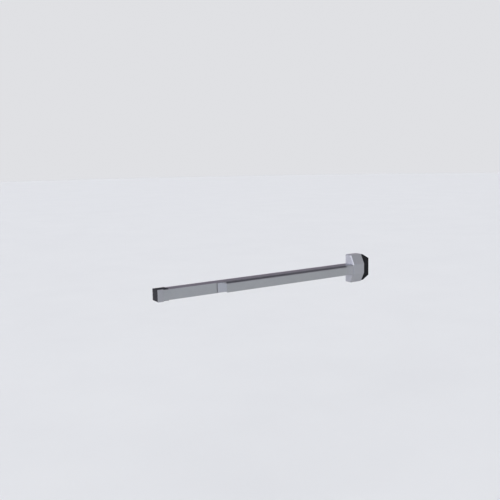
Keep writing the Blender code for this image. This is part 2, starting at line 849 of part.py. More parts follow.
def head_outline():
    """The head's side view in (Y, Z): deep in the middle band, sloping back above and below."""
    half, band = HEAD_HEIGHT / 2, HEAD_BAND / 2
    return [
        (-GAP, -half),
        (-GAP, half),
        (-HEAD_EDGE_DEPTH, half),
        (-HEAD_DEPTH, band),
        (-HEAD_DEPTH, -band),
        (-HEAD_EDGE_DEPTH, -half),
    ]


def chamfered_slab(name, outline, half, chamfer, back):
    """A solid along X, from -half to half, its end edges chamfered all round but at its back."""
    small = [
        (back if start[0] > back - GAP / 2 else y, z)
        for start, (y, z) in zip(outline, inset(outline, chamfer))
    ]
    inner = half - chamfer
    work = bmesh.new()
    rings = [
        [work.verts.new((x, y, z)) for y, z in ring]
        for x, ring in ((-half, small), (-inner, outline), (inner, outline), (half, small))
    ]
    work.faces.new(rings[0])
    work.faces.new(rings[-1])
    for near, far in zip(rings, rings[1:]):
        for i in range(len(near)):
            work.faces.new((near[i - 1], near[i], far[i], far[i - 1]))
    bmesh.ops.recalc_face_normals(work, faces=work.faces)
    mesh = bpy.data.meshes.new(name)
    work.to_mesh(mesh)
    work.free()
    return bpy.data.objects.new(name, mesh)


def head_cover():
    end_radius = HEAD_CHAMFER + 0.0004
    corner_radii = (0, 0, end_radius, 0.0060, 0.0060, end_radius)
    corners = [(y, z, radius) for (y, z), radius in zip(head_outline(), corner_radii)]
    made = chamfered_slab("head_cover", rounded(corners), HEAD_WIDTH / 2, HEAD_CHAMFER, -GAP)
    inner = inset(head_outline(), HEAD_WALL)
    behind = 0.0100
    opened = [(behind if y > -0.0100 else y, z) for y, z in inner]
    hollow = chamfered_slab("head_hollow", opened, HEAD_WIDTH / 2 - HEAD_SIDE_WALL,
                            HEAD_INNER_CHAMFER, behind)
    right_side = (HEAD_WIDTH / 2 - 0.0080, HEAD_WIDTH / 2 + 0.0080)
    play = 0.0010
    latch_window = box(
        "latch_window",
        (right_side[0], BOLT_Y[0] - play, -BOLT_HEIGHT / 2 - play),
        (right_side[1], BOLT_Y[1] + play, BOLT_HEIGHT / 2 + play),
    )
    aux_window = box(
        "aux_window",
        (right_side[0], AUX_Y[0] - play, AUX_Z[0] - play),
        (right_side[1], AUX_Y[1] + play, AUX_Z[1] + play),
    )
    rod_notch = box(
        "rod_notch",
        (-HEAD_WIDTH / 2 - 0.0080, -0.0200, -0.0100),
        (-HEAD_WIDTH / 2 + 0.0080, 0.0100, 0.0100),
    )
    cut(made, hollow, latch_window, aux_window, rod_notch)
    return finish(made, SILVER_CASTING)


def head_baseplate():
    """The plate behind the head, its top and bottom turned forward to take the cover's screws."""
    half = HEAD_HEIGHT / 2 - HEAD_WALL - GAP
    outline = channel_outline(0, -0.0300, half, 0.0022, PLATE)
    width = HEAD_WIDTH / 2 - HEAD_SIDE_WALL - GAP
    made = prism("head_baseplate", outline, "X", -width, width)
    size, beyond = HEAD_INNER_CHAMFER, 0.0020
    for number, (right, up) in enumerate(((-1, -1), (-1, 1), (1, -1), (1, 1))):
        corner = [
            (right * (width - size - beyond), up * (half + beyond)),
            (right * (width + beyond), up * (half - size - beyond)),
            (right * (width + beyond), up * (half + beyond)),
        ]
        cut(made, prism(f"baseplate_corner_{number}", corner, "Y", -0.0400, 0.0100))
    return finish(made, ZINC_STEEL)


def latch_case():
    """The U that guides the latch bolt between its two cheeks."""
    half = BOLT_HEIGHT / 2 + 0.0004 + 0.0020
    outline = channel_outline(CASE_BACK, BOLT_Y[0] - 0.0020, half, 0.0020, 0.0020)
    return finish(prism("latch_case", outline, "X", 0.0080, 0.0340), ZINC_STEEL)


def latch_bolt():
    """The bolt: flat towards the door, bevelled nose, forked tail and a lug for the lever's pin."""
    tail = -0.0160
    nose_flat = 0.0030
    back, front = BOLT_Y[1], BOLT_Y[0]
    slope = back - front - nose_flat
    outline = [
        (tail, back),
        (tail, front),
        (BOLT_TIP - slope, front),
        (BOLT_TIP, front + slope),
        (BOLT_TIP, back),
    ]
    half = BOLT_HEIGHT / 2
    made = bevel(prism("latch_bolt", outline, "Z", -half, half), 0.0008, 1)
    fork = box("latch_fork", (tail - 0.0010, front - 0.0050, -0.0045),
               (-0.0030, back + 0.0050, 0.0045))
    pin_x = LEVER_PIVOT.x + LEVER_BOLT_ARM * sin(LEVER_THROW / 2)
    lug = box("latch_lug", (pin_x - 0.0055, front, half - 0.0030),
              (pin_x + 0.0055, front + 0.0060, half + 0.0115))
    low = LEVER_PIVOT.z + LEVER_BOLT_ARM * cos(LEVER_THROW / 2)
    high = LEVER_PIVOT.z + LEVER_BOLT_ARM
    slot_radius = LEVER_BOLT_PIN + PLAY
    slot = hull_outline([(pin_x, low, slot_radius), (pin_x, high, slot_radius)])
    join(made, lug)
    cut(made, fork, prism("latch_lug_slot", slot, "Y", front - 0.0100, front + 0.0200))
    return finish(made, BOLT_STEEL)


def aux_latch():
    """The auxiliary latch below the bolt, sprung on its own."""
    back, front = AUX_Y[1], AUX_Y[0]
    nose_flat = 0.0040
    slope = back - front - nose_flat
    outline = [
        (0.0, back),
        (0.0, front),
        (AUX_TIP - slope, front),
        (AUX_TIP, front + slope),
        (AUX_TIP, back),
    ]
    made = bevel(prism("aux_latch", outline, "Z", *AUX_Z), 0.0006, 1)
    return finish(made, BOLT_STEEL)


def aux_guide():
    """The channel that the auxiliary latch runs in, closed at its left end for the spring."""
    wall = 0.0018
    play = 0.0004
    low, high = AUX_Z[0] - play, AUX_Z[1] + play
    made = box("aux_guide", (-0.0340, AUX_Y[0] - 0.0015, low - wall),
               (0.0340, CASE_BACK, high + wall))
    room = box("aux_guide_room", (-0.0324, -0.0500, low), (0.0500, CASE_BACK - 0.0020, high))
    cut(made, room)
    return finish(made, ZINC_STEEL)


def aux_spring():
    middle = ((AUX_Y[0] + AUX_Y[1]) / 2, (AUX_Z[0] + AUX_Z[1]) / 2)
    start = -0.0324 + GAP
    along_x = Matrix.Rotation(pi / 2, 4, "Y")
    return coil("aux_spring", 0.0038, 0.0006, -start - GAP, 8, SPRING_STEEL,
                (start, *middle), along_x)


def lever_post():
    """The shouldered post on the baseplate that the lever turns on."""
    shoulder = -LEVER_Y[1] - GAP
    profile = [(0, 0.0500), (POST_RADIUS, 0.0500), (POST_RADIUS, shoulder), (0.0035, shoulder),
               (0.0035, -CASE_BACK), (0, -CASE_BACK)]
    made = turned("lever_post", profile)
    made.location = (LEVER_PIVOT.x, 0, LEVER_PIVOT.z)
    made.rotation_euler = (pi / 2, 0, 0)
    return finish(made, BOLT_STEEL)


def lever():
    """The lever about its own Y: pins towards the door meet the rod's end and the bolt's lug."""
    front, back = LEVER_Y
    outline = hull_outline([(0, 0, 0.0065), (0, LEVER_BOLT_ARM, 0.0042)])
    made = prism("lever", outline, "Y", front, back)
    rod_pin = cylinder("lever_rod_pin", "Y", (0, 0, LEVER_ROD_ARM), LEVER_PIN,
                       front + 0.0010, ROD_Y + ROD_WIDTH / 2 - 0.0005)
    bolt_pin = cylinder("lever_bolt_pin", "Y", (0, 0, LEVER_BOLT_ARM), LEVER_BOLT_PIN,
                        front + 0.0010, BOLT_Y[0] + 0.0070)
    bore = cylinder("lever_bore", "Y", (0, 0, 0), POST_RADIUS + GAP, -0.0600, -0.0200)
    join(made, rod_pin, bolt_pin)
    cut(made, bore)
    for piece in (made, rod_pin, bolt_pin, bore):
        piece.location = LEVER_PIVOT
        piece.rotation_euler = (0, LEVER_THROW / 2, 0)
    return finish(made, ZINC_STEEL)


def lever_clip():
    """The ring that keeps the lever on its post."""
    front = LEVER_Y[0] - GAP - 0.0010
    centre = (LEVER_PIVOT.x, 0, LEVER_PIVOT.z)
    made = cylinder("lever_clip", "Y", centre, 0.0050, front, LEVER_Y[0] - GAP)
    bore = cylinder("lever_clip_bore", "Y", centre, POST_RADIUS + GAP, front - 0.01, front + 0.02)
    cut(made, bore)
    return finish(made, SPRING_STEEL)


def lever_spring():
    start = LEVER_Y[0] - 0.0018
    away_from_door = Matrix.Rotation(pi / 2, 4, "X")
    return coil("lever_spring", 0.0040, 0.0006, 0.0072, 5, SPRING_STEEL,
                (LEVER_PIVOT.x, start, LEVER_PIVOT.z), away_from_door)


def head():
    cover = head_cover()
    plate = head_baseplate()
    latch_case()
    bolt = latch_bolt()
    aux = aux_latch()
    aux_guide()
    aux_spring()
    lever_post()
    lever()
    lever_clip()
    lever_spring()
    number = 0
    for x in (-0.0240, 0.0240):
        for z in (-0.0560, 0.0560):
            number += 1
            screw(f"head_mount_screw_{number}", (x, -PLATE, z), "-Y", 0.0044, 0.0024,
                  PLATE - GAP, (plate,))
    top = HEAD_HEIGHT / 2
    for side, facing, height in (("top", "+Z", top), ("bottom", "-Z", -top)):
        screw(f"head_cover_screw_{side}", (0, -0.0180, height), facing, 0.0034, 0.0018, 0.0065,
              (cover, plate))
    body_empty("latch_bolt_axis", (0, sum(BOLT_Y) / 2, 0), bolt)
    body_empty("aux_latch_axis", (0, sum(AUX_Y) / 2, sum(AUX_Z) / 2), aux)


# ---------------------------------------------------------------- strike
POCKET_HALF = 0.0360
POCKET_RIGHT = 0.0780
STRIKE_WALL = 0.0025
STRIKE_PIN = 0.0025


def strike_outline():
    """The strike's front view in (X, Z): square beside the head, its far corners sloped off."""
    half, edge = STRIKE_HEIGHT / 2, STRIKE_EDGE_HEIGHT / 2
    shoulder = STRIKE_LEFT + 0.0085
    return [
        (STRIKE_LEFT, -half),
        (shoulder, -half),
        (STRIKE_RIGHT, -edge),
        (STRIKE_RIGHT, edge),
        (shoulder, half),
        (STRIKE_LEFT, half),
    ]


def strike_shim():
    made = prism("strike_shim", strike_outline(), "Y", -SHIM_THICKNESS, 0)
    return finish(made, ZINC_STEEL)


def strike_body():
    """The black casting: a pocket open towards the head, under a thin front wall."""
    back = -(SHIM_THICKNESS + GAP)
    made = prism("strike_body", strike_outline(), "Y", -STRIKE_DEPTH, back)
    bevel(made, 0.0015, 2)
    pocket = box(
        "strike_pocket",
        (STRIKE_LEFT - 0.0100, -STRIKE_DEPTH + STRIKE_WALL, -POCKET_HALF),
        (POCKET_RIGHT, back - 0.0020, POCKET_HALF),
    )
    bore = cylinder("strike_pin_bore", "Z", (ROLLER_X, ROLLER_Y, 0), STRIKE_PIN + GAP,
                    -0.0445, 0.0445)
    cut(made, pocket, bore)
    return finish(made, BLACK_CASTING)


def strike_pin():
    made = cylinder("strike_pin", "Z", (ROLLER_X, ROLLER_Y, 0), STRIKE_PIN, -0.0440, 0.0440)
    return finish(made, BOLT_STEEL)


def strike_roller():
    """The roller that the bolt's flat side bears on; it turns about its own Z."""
    half = POCKET_HALF - 0.0010
    made = cylinder("strike_roller", "Z", (0, 0, 0), ROLLER_RADIUS, -half, half)
    bevel(made, 0.0006, 1, 50)
    bore = cylinder("strike_roller_bore", "Z", (0, 0, 0), STRIKE_PIN + GAP, -0.0500, 0.0500)
    cut(made, bore)
    for piece in (made, bore):
        piece.location = (ROLLER_X, ROLLER_Y, 0)
    return finish(made, BOLT_STEEL)


def strike():
    shim = strike_shim()
    body = strike_body()
    strike_pin()
    strike_roller()
    for number, z in enumerate((-0.0510, 0.0510), 1):
        screw(f"strike_screw_{number}", (0.0620, -STRIKE_DEPTH, z), "-Y", 0.0048, 0.0026,
              STRIKE_DEPTH - GAP, (body, shim), BLACK_CASTING)


# ---------------------------------------------------------------- build
rod_train(left_end())
push_bar()
head()
strike()

print(f"push {PAD_TRAVEL:.4f} m, crank {degrees(CRANK_THROW):.3f} deg, rod {ROD_TRAVEL:.5f} m,")
print(f"lever {degrees(LEVER_THROW):.3f} deg, bolt {BOLT_TRAVEL:.5f} m, crank at Y {CRANK_Y:.5f}")
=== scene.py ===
"""Looks of the touch-bar rim exit device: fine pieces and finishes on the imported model's bodies.

Frame, in metres: +X to the right along the bar, +Z up, the door's face is the plane Y = 0 and the
device stands out from it towards -Y.
"""

import json
from math import asin, atan2, cos, pi, radians, sin, sqrt, tan

import bmesh
import bpy
from mathutils import Matrix, Vector

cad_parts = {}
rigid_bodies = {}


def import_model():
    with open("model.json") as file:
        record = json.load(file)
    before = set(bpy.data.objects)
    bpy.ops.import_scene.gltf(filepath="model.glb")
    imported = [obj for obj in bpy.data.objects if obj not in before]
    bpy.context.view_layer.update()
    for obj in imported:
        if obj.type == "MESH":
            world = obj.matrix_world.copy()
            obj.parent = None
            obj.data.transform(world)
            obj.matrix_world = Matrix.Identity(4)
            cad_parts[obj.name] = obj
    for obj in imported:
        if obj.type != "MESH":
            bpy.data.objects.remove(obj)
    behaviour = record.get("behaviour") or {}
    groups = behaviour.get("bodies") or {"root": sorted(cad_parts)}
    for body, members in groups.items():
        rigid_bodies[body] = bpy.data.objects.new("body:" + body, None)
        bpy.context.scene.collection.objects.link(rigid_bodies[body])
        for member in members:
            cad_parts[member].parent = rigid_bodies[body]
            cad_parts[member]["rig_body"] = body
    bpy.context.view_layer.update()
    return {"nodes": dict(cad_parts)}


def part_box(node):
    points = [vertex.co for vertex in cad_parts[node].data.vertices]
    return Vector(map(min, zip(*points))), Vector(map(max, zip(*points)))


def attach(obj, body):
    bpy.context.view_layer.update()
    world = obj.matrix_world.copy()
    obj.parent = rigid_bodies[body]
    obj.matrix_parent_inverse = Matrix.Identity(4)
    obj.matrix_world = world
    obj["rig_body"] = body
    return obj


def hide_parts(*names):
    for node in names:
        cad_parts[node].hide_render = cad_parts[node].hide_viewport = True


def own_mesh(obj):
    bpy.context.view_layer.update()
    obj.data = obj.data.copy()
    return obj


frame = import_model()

SCENE = bpy.context.scene

# ---------------------------------------------------------------- driving dimensions
GAP = 0.0003  # between pieces that touch
PLAY = 0.00035  # round a pin in its slot

PAD_TRAVEL = 0.0130
CRANK_PAD_ARM = 0.0180
CRANK_ROD_ARM = 0.0160
CRANK_THROW = 2 * asin(PAD_TRAVEL / 2 / CRANK_PAD_ARM)
ROD_TRAVEL = 2 * CRANK_ROD_ARM * sin(CRANK_THROW / 2)
LEVER_ROD_ARM = 0.0360
LEVER_BOLT_ARM = 0.0560
LEVER_THROW = 2 * asin(ROD_TRAVEL / 2 / LEVER_ROD_ARM)

RAIL_WALL = 0.0022
RAIL_BACK = 0.0025
SHEET = 0.0020  # sheet brackets
PAD_WALL = 0.0020
PAD_CORNER = 0.0090  # radius along the pad's top
PAD_LOWER_CORNER = 0.0030  # radius along the bottom of its ramped end
PAD_LIP_THICKNESS = 0.0022  # of the lip below the rail's edge
HEAD_BAND = 0.0500  # height of the head's middle band
HEAD_EDGE_DEPTH = 0.0400  # depth of the head at its top and bottom edges
HEAD_WALL = 0.0025
HEAD_SIDE_WALL = 0.0022
HEAD_PLATE = 0.0030  # thickness of the head's baseplate
HEAD_CHAMFER = 0.0042  # along the head's left and right edges
HEAD_INNER_CHAMFER = HEAD_CHAMFER - 0.0008

CRANK_PIN = 0.0025
ROD_PIN = 0.0020
LEVER_PIN = 0.0025
LEVER_BOLT_PIN = 0.0020
LEVER_POST = 0.0025
STRIKE_PIN = 0.0025
LEVER_Y = (-0.0400, -0.0370)  # front and back of the lever

BEYOND = 0.0100  # how far a cutter reaches past what it cuts
ROUND_STEPS = 56  # sides of a turned piece
SOFT_ANGLE = 20  # degrees; main edges sharper than this are softened
EDGE_ANGLE = 32  # degrees; all other edges sharper than this are broken
WELD = 2e-6  # points closer than this become one


# ---------------------------------------------------------------- outlines
def arc(centre, radius, start, end, steps):
    """Points on an arc from angle start to angle end, both included."""
    return [
        (
            centre[0] + radius * cos(start + (end - start) * i / steps),
            centre[1] + radius * sin(start + (end - start) * i / steps),
        )
        for i in range(steps + 1)
    ]


def rounded(corners, steps):
    """An outline from (x, y, radius) corners, each with its radius as an arc."""
    outline = []
    for i, (x, y, radius) in enumerate(corners):
        if radius == 0:
            outline.append((x, y))
            continue
        here = Vector((x, y))
        before = (Vector(corners[i - 1][:2]) - here).normalized()
        after = (Vector(corners[(i + 1) % len(corners)][:2]) - here).normalized()
        half = before.angle(after) / 2
        centre = here + (before + after).normalized() * (radius / sin(half))
        first = here + before * (radius / tan(half)) - centre
        last = here + after * (radius / tan(half)) - centre
        start = atan2(first.y, first.x)
        turn = (atan2(last.y, last.x) - start + pi) % (2 * pi) - pi
        outline += arc(centre, radius, start, start + turn, steps)
    return outline


def hull(circles):
    """The outline of a plate stretched round (x, y, radius) circles."""
    points = []
    for x, y, radius in circles:
        points += arc((x, y), radius, 0, 2 * pi, ROUND_STEPS)[:-1]
    points = sorted((round(x, 7), round(y, 7)) for x, y in points)
    sides = []
    for order in (points, points[::-1]):
        side = []
        for point in order:
            while len(side) > 1 and turn_of(side[-2], side[-1], point) <= 1e-12:
                side.pop()
            side.append(point)
        sides += side[:-1]
    return sides


def turn_of(a, b, c):
    return (b[0] - a[0]) * (c[1] - a[1]) - (b[1] - a[1]) * (c[0] - a[0])


def channel(back, front, half, wall, base, bend, lip):
    """A bent U in (Y, Z), open towards -Y, with side walls at +-half and its base at back."""
    inner = max(bend - wall, 0.0004)
    return rounded(
        [
            (back, -half, bend),
            (back, half, bend),
            (front, half, lip),
            (front, half - wall, lip),
            (back - base, half - wall, inner),
            (back - base, -half + wall, inner),
            (front, -half + wall, lip),
            (front, -half, lip),
        ],
        5,
    )


def inset(outline, distance):
    """A convex anticlockwise outline moved inwards by distance."""
    moved = []
    for i, point in enumerate(outline):
        before = Vector(point) - Vector(outline[i - 1])
        after = Vector(outline[(i + 1) % len(outline)]) - Vector(point)
        normal_before = Vector((-before.y, before.x)).normalized()
        normal_after = Vector((-after.y, after.x)).normalized()
        lean = 1 + normal_before.dot(normal_after)
        moved.append(tuple(Vector(point) + (normal_before + normal_after) * (distance / lean)))
    return moved


# ---------------------------------------------------------------- solids
def solid(work, matrix=None):
    """A loose object of a bmesh, for the steps that follow."""
    if matrix is not None:
        bmesh.ops.transform(work, matrix=matrix, verts=work.verts)
    bmesh.ops.recalc_face_normals(work, faces=work.faces)
    mesh = bpy.data.meshes.new("solid")
    work.to_mesh(mesh)
    work.free()
    thing = bpy.data.objects.new("solid", mesh)
    SCENE.collection.objects.link(thing)
    return thing


def prism(outline, axis, start, end, matrix=None):
    """A flat outline extruded along an axis: (Y, Z) for axis X, (X, Z) for Y and (X, Y) for Z."""
    place = {
        "X": lambda u, v, w: (w, u, v),
        "Y": lambda u, v, w: (u, w, v),
        "Z": lambda u, v, w: (u, v, w),
    }[axis]
    work = bmesh.new()
    near = [work.verts.new(place(u, v, start)) for u, v in outline]
    far = [work.verts.new(place(u, v, end)) for u, v in outline]
    work.faces.new(near)
    work.faces.new(far[::-1])
    for i in range(len(outline)):
        work.faces.new((near[i - 1], near[i], far[i], far[i - 1]))
    return solid(work, matrix)


def chamfered_slab(outline, half, chamfer, back):
    """A solid along X, from -half to half, its end edges chamfered all round but at its back."""
    small = [
        (back if start[0] > back - 1e-5 else y, z)
        for start, (y, z) in zip(outline, inset(outline, chamfer))
    ]
    inner = half - chamfer
    work = bmesh.new()
    rings = [
        [work.verts.new((x, y, z)) for y, z in ring]
        for x, ring in ((-half, small), (-inner, outline), (inner, outline), (half, small))
    ]
    work.faces.new(rings[0])
    work.faces.new(rings[-1])
    for near, far in zip(rings, rings[1:]):
        for i in range(len(near)):
            work.faces.new((near[i - 1], near[i], far[i], far[i - 1]))
    return solid(work)


def block(low, high):
    work = bmesh.new()
    bmesh.ops.create_cube(work, size=1.0)
    bmesh.ops.scale(work, vec=Vector(high) - Vector(low), verts=work.verts)
    bmesh.ops.translate(work, vec=(Vector(low) + Vector(high)) / 2, verts=work.verts)
    return solid(work)


FACING = {
    "+Z": Matrix.Identity(4),
    "-Z": Matrix.Rotation(pi, 4, "X"),
    "-Y": Matrix.Rotation(pi / 2, 4, "X"),
    "+Y": Matrix.Rotation(-pi / 2, 4, "X"),
    "-X": Matrix.Rotation(-pi / 2, 4, "Y"),
    "+X": Matrix.Rotation(pi / 2, 4, "Y"),
}


def turned(profile, place, facing="+Z"):
    """A turned solid from (radius, height) points; a profile that starts off the axis is a ring."""
    work = bmesh.new()
    rings = []
    for radius, height in profile:
        if radius == 0:
            rings.append([work.verts.new((0, 0, height))])
            continue
        angles = [2 * pi * i / ROUND_STEPS for i in range(ROUND_STEPS)]
        rings.append(
            [work.verts.new((radius * cos(a), radius * sin(a), height)) for a in angles]
        )
    pairs = list(zip(rings, rings[1:]))
    if len(rings[0]) > 1:
        pairs.append((rings[-1], rings[0]))
    for one, other in pairs:
        for i in range(ROUND_STEPS):
            corners = [one[i % len(one)], one[(i + 1) % len(one)]]
            corners += [other[(i + 1) % len(other)], other[i % len(other)]]
            work.faces.new(list(dict.fromkeys(corners)))
    return solid(work, Matrix.Translation(place) @ FACING[facing])


def rod(axis, centre, radius, start, end, matrix=None):
    """A round bar along an axis; centre gives its other two coordinates."""
    place = Vector(centre)
    place["XYZ".index(axis)] = start
    length = end - start
    profile = [(0, 0), (radius, 0), (radius, length), (0, length)]
    thing = turned(profile, place, "+" + axis)
    if matrix is not None:
        thing.data.transform(matrix)
    return thing


def coil(radius, wire, length, turns, place, facing):
    """A spring of round wire with closed ends, starting at place and running along facing."""
    per_turn, sides = 36, 12
    count = int(turns * per_turn)
    closed, rise = 1.0, 2.1  # turns lying nearly flat at each end; their rise in wire radii
    pitch = (length - 2 * wire - 2 * closed * rise * wire) / (turns - 2 * closed)
    work = bmesh.new()
    rings = []
    for i in range(count + 1):
        t = i / per_turn
        start, end = min(t, closed), max(t - (turns - closed), 0)
        middle = t - start - end
        height = wire + (start + end) * rise * wire + middle * pitch
        angle = 2 * pi * t
        out = Vector((cos(angle), sin(angle), 0))
        centre = out * radius + Vector((0, 0, height))
        rings.append(
            [
                work.verts.new(
                    centre
                    + out * (wire * cos(2 * pi * k / sides))
                    + Vector((0, 0, wire * sin(2 * pi * k / sides)))
                )
                for k in range(sides)
            ]
        )
    for one, other in zip(rings, rings[1:]):
        for k in range(sides):
            work.faces.new((one[k - 1], one[k], other[k], other[k - 1]))
    work.faces.new(rings[0])
    work.faces.new(rings[-1][::-1])
    return solid(work, Matrix.Translation(place) @ FACING[facing])


# ---------------------------------------------------------------- finishing a piece
def soften(thing, width, segments, angle):
    step = thing.modifiers.new("edge", "BEVEL")
    step.width = width
    step.segments = segments
    step.limit_method = "ANGLE"
    step.angle_limit = radians(angle)
    step.miter_outer = "MITER_ARC"


def combine(thing, tool, operation):
    step = thing.modifiers.new("combine", "BOOLEAN")
    step.object = tool
    step.operation = operation
    step.solver = "EXACT"


def applied(thing):
    """The object with its modifiers made into its mesh."""
    graph = bpy.context.evaluated_depsgraph_get()
    mesh = bpy.data.meshes.new_from_object(thing.evaluated_get(graph), depsgraph=graph)
    thing.modifiers.clear()
    thing.data = mesh
    return thing


def drop(*things):
    for thing in things:
        bpy.data.objects.remove(thing, do_unlink=True)


def shape(base, cuts=(), joins=(), soft=0.0, edge=0.0003):
    """The base with its main edges softened, pieces joined and cut, and every sharp edge broken."""
    if soft:
        soften(base, soft, 5, SOFT_ANGLE)
    for tool in joins:
        combine(base, tool, "UNION")
    for tool in cuts:
        combine(base, tool, "DIFFERENCE")
    applied(base)
    drop(*joins, *cuts)
    work = bmesh.new()
    work.from_mesh(base.data)
    bmesh.ops.remove_doubles(work, verts=work.verts, dist=WELD)
    bmesh.ops.dissolve_degenerate(work, edges=work.edges, dist=WELD)
    bmesh.ops.dissolve_limit(
        work,
        angle_limit=radians(0.5),
        verts=work.verts,
        edges=work.edges,
        use_dissolve_boundaries=False,
    )
    work.to_mesh(base.data)
    work.free()
    base.data.shade_smooth()
    if edge:
        soften(base, edge, 3, EDGE_ANGLE)
    even = base.modifiers.new("normals", "WEIGHTED_NORMAL")
    even.keep_sharp = True
    even.weight = 60
    return applied(base)


def body_of(node):
    return frame["nodes"][node]["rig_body"]


def slot_of(node):
    return frame["nodes"][node].data.materials[0].name.split(".")[0]


def piece(node, thing, surface=None):
    """Give a finished shape its name, finish and body, in place of its CAD node."""
    thing.name = f"{node}_fine"
    thing.data.name = thing.name
    thing.data.materials.clear()
    thing.data.materials.append(surface or SURFACES[slot_of(node)])
    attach(thing, body_of(node))
    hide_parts(node)


# ---------------------------------------------------------------- finishes
def add(tree, kind, sockets=None, **settings):
    """A shader node with its settings; a socket is given a value or another node's output."""
    made = tree.nodes.new("ShaderNode" + kind)
    for key, value in settings.items():
        setattr(made, key, value)
    for key, value in (sockets or {}).items():
        if isinstance(value, bpy.types.NodeSocket):
            tree.links.new(value, made.inputs[key])
        else:
            made.inputs[key].default_value = value
    return made


def spread(tree, value, low, high, to_low, to_high):
    limits = {"From Min": low, "From Max": high, "To Min": to_low, "To Max": to_high}
    return add(tree, "MapRange", {"Value": value, **limits}, clamp=True).outputs[0]


def times(tree, one, other):
    return add(tree, "Math", {0: one, 1: other}, operation="MULTIPLY").outputs[0]


def mixed(tree, factor, one, other):
    return add(tree, "MixRGB", {"Fac": factor, "Color1": one, "Color2": other}).outputs[0]


def noise(tree, vector, scale, detail=3.0, rough=0.55):
    sockets = {"Vector": vector, "Scale": scale, "Detail": detail, "Roughness": rough}
    return add(tree, "TexNoise", sockets).outputs[0]


def rgba(colour):
    return (*colour, 1.0)


WEAR_WIDTH = 0.0007  # how far an edge's wear reaches from it


def finish_of(
    name,
    pale,
    dark,
    worn,
    metallic,
    roughness,
    grain,
    grain_depth,
    wear,
    stretch=(1, 1, 1),
    speckle=0.0,
    speckle_depth=0.0,
    worn_metallic=1.0,
    worn_roughness=0.30,
    coat=0.0,
    gloss=0.5,
):
    """A finish with cloudy tone, fine grain or speckle in its relief, and edges worn by hands."""
    made = bpy.data.materials.new(name)
    made.use_nodes = True
    tree = made.node_tree
    shader = tree.nodes["Principled BSDF"]
    geometry = add(tree, "NewGeometry")
    place = add(tree, "TexCoord").outputs["Object"]
    along = add(tree, "Mapping", {"Vector": place, "Scale": stretch}).outputs[0]
    cloud = noise(tree, place, 7.0, 4.0)
    mottle = noise(tree, place, 60.0, 3.0)
    fine = noise(tree, along, grain, 2.0, 0.65)
    cloud_tone = spread(tree, cloud, 0.25, 0.75, 0.4, 1.0)
    tone = times(tree, cloud_tone, spread(tree, fine, 0.25, 0.75, 0.55, 1.0))
    colour = mixed(tree, tone, rgba(dark), rgba(pale))
    rough = add(
        tree,
        "Math",
        {
            0: spread(tree, mottle, 0.3, 0.7, roughness[0], roughness[1]),
            1: spread(tree, fine, 0.3, 0.7, -0.04, 0.04),
        },
        operation="ADD",
    ).outputs[0]
    height = {"Strength": 1.0, "Distance": grain_depth, "Height": fine}
    relief = add(tree, "Bump", height).outputs[0]
    if speckle:
        cells = add(tree, "TexVoronoi", {"Vector": place, "Scale": speckle}).outputs[0]
        height = {"Strength": 1.0, "Distance": speckle_depth, "Height": cells, "Normal": relief}
        relief = add(tree, "Bump", height).outputs[0]
        flakes = noise(tree, place, speckle * 1.7, 1.0)
        colour = mixed(tree, spread(tree, flakes, 0.58, 0.72, 0.0, 0.35), colour, rgba(worn))
    rounded_normal = add(tree, "Bevel", {"Radius": WEAR_WIDTH}, samples=6).outputs[0]
    facing = {0: rounded_normal, 1: geometry.outputs["Normal"]}
    bent = add(tree, "VectorMath", facing, operation="DOT_PRODUCT").outputs["Value"]
    patches = spread(tree, noise(tree, place, 160.0, 4.0, 0.7), 0.42, 0.62, 0.0, wear)
    rubbed = times(tree, spread(tree, bent, 0.985, 0.86, 0.0, 1.0), patches)
    colour = mixed(tree, rubbed, colour, rgba(worn))
    tree.links.new(colour, shader.inputs["Base Color"])
    rough = mixed(tree, rubbed, rough, rgba((worn_roughness,) * 3))
    tree.links.new(rough, shader.inputs["Roughness"])
    if metallic == worn_metallic:
        shader.inputs["Metallic"].default_value = metallic
    else:
        metal = spread(tree, rubbed, 0.0, 1.0, metallic, worn_metallic)
        tree.links.new(metal, shader.inputs["Metallic"])
    tree.links.new(relief, shader.inputs["Normal"])
    shader.inputs["Specular IOR Level"].default_value = gloss
    shader.inputs["Coat Weight"].default_value = coat
    shader.inputs["Coat Roughness"].default_value = 0.25
    return made


ALONG_X = (0.012, 1.0, 1.0)  # a grain drawn out along the bar
ROUND_Z = (0.02, 0.02, 1.0)  # turning marks about an upright axis

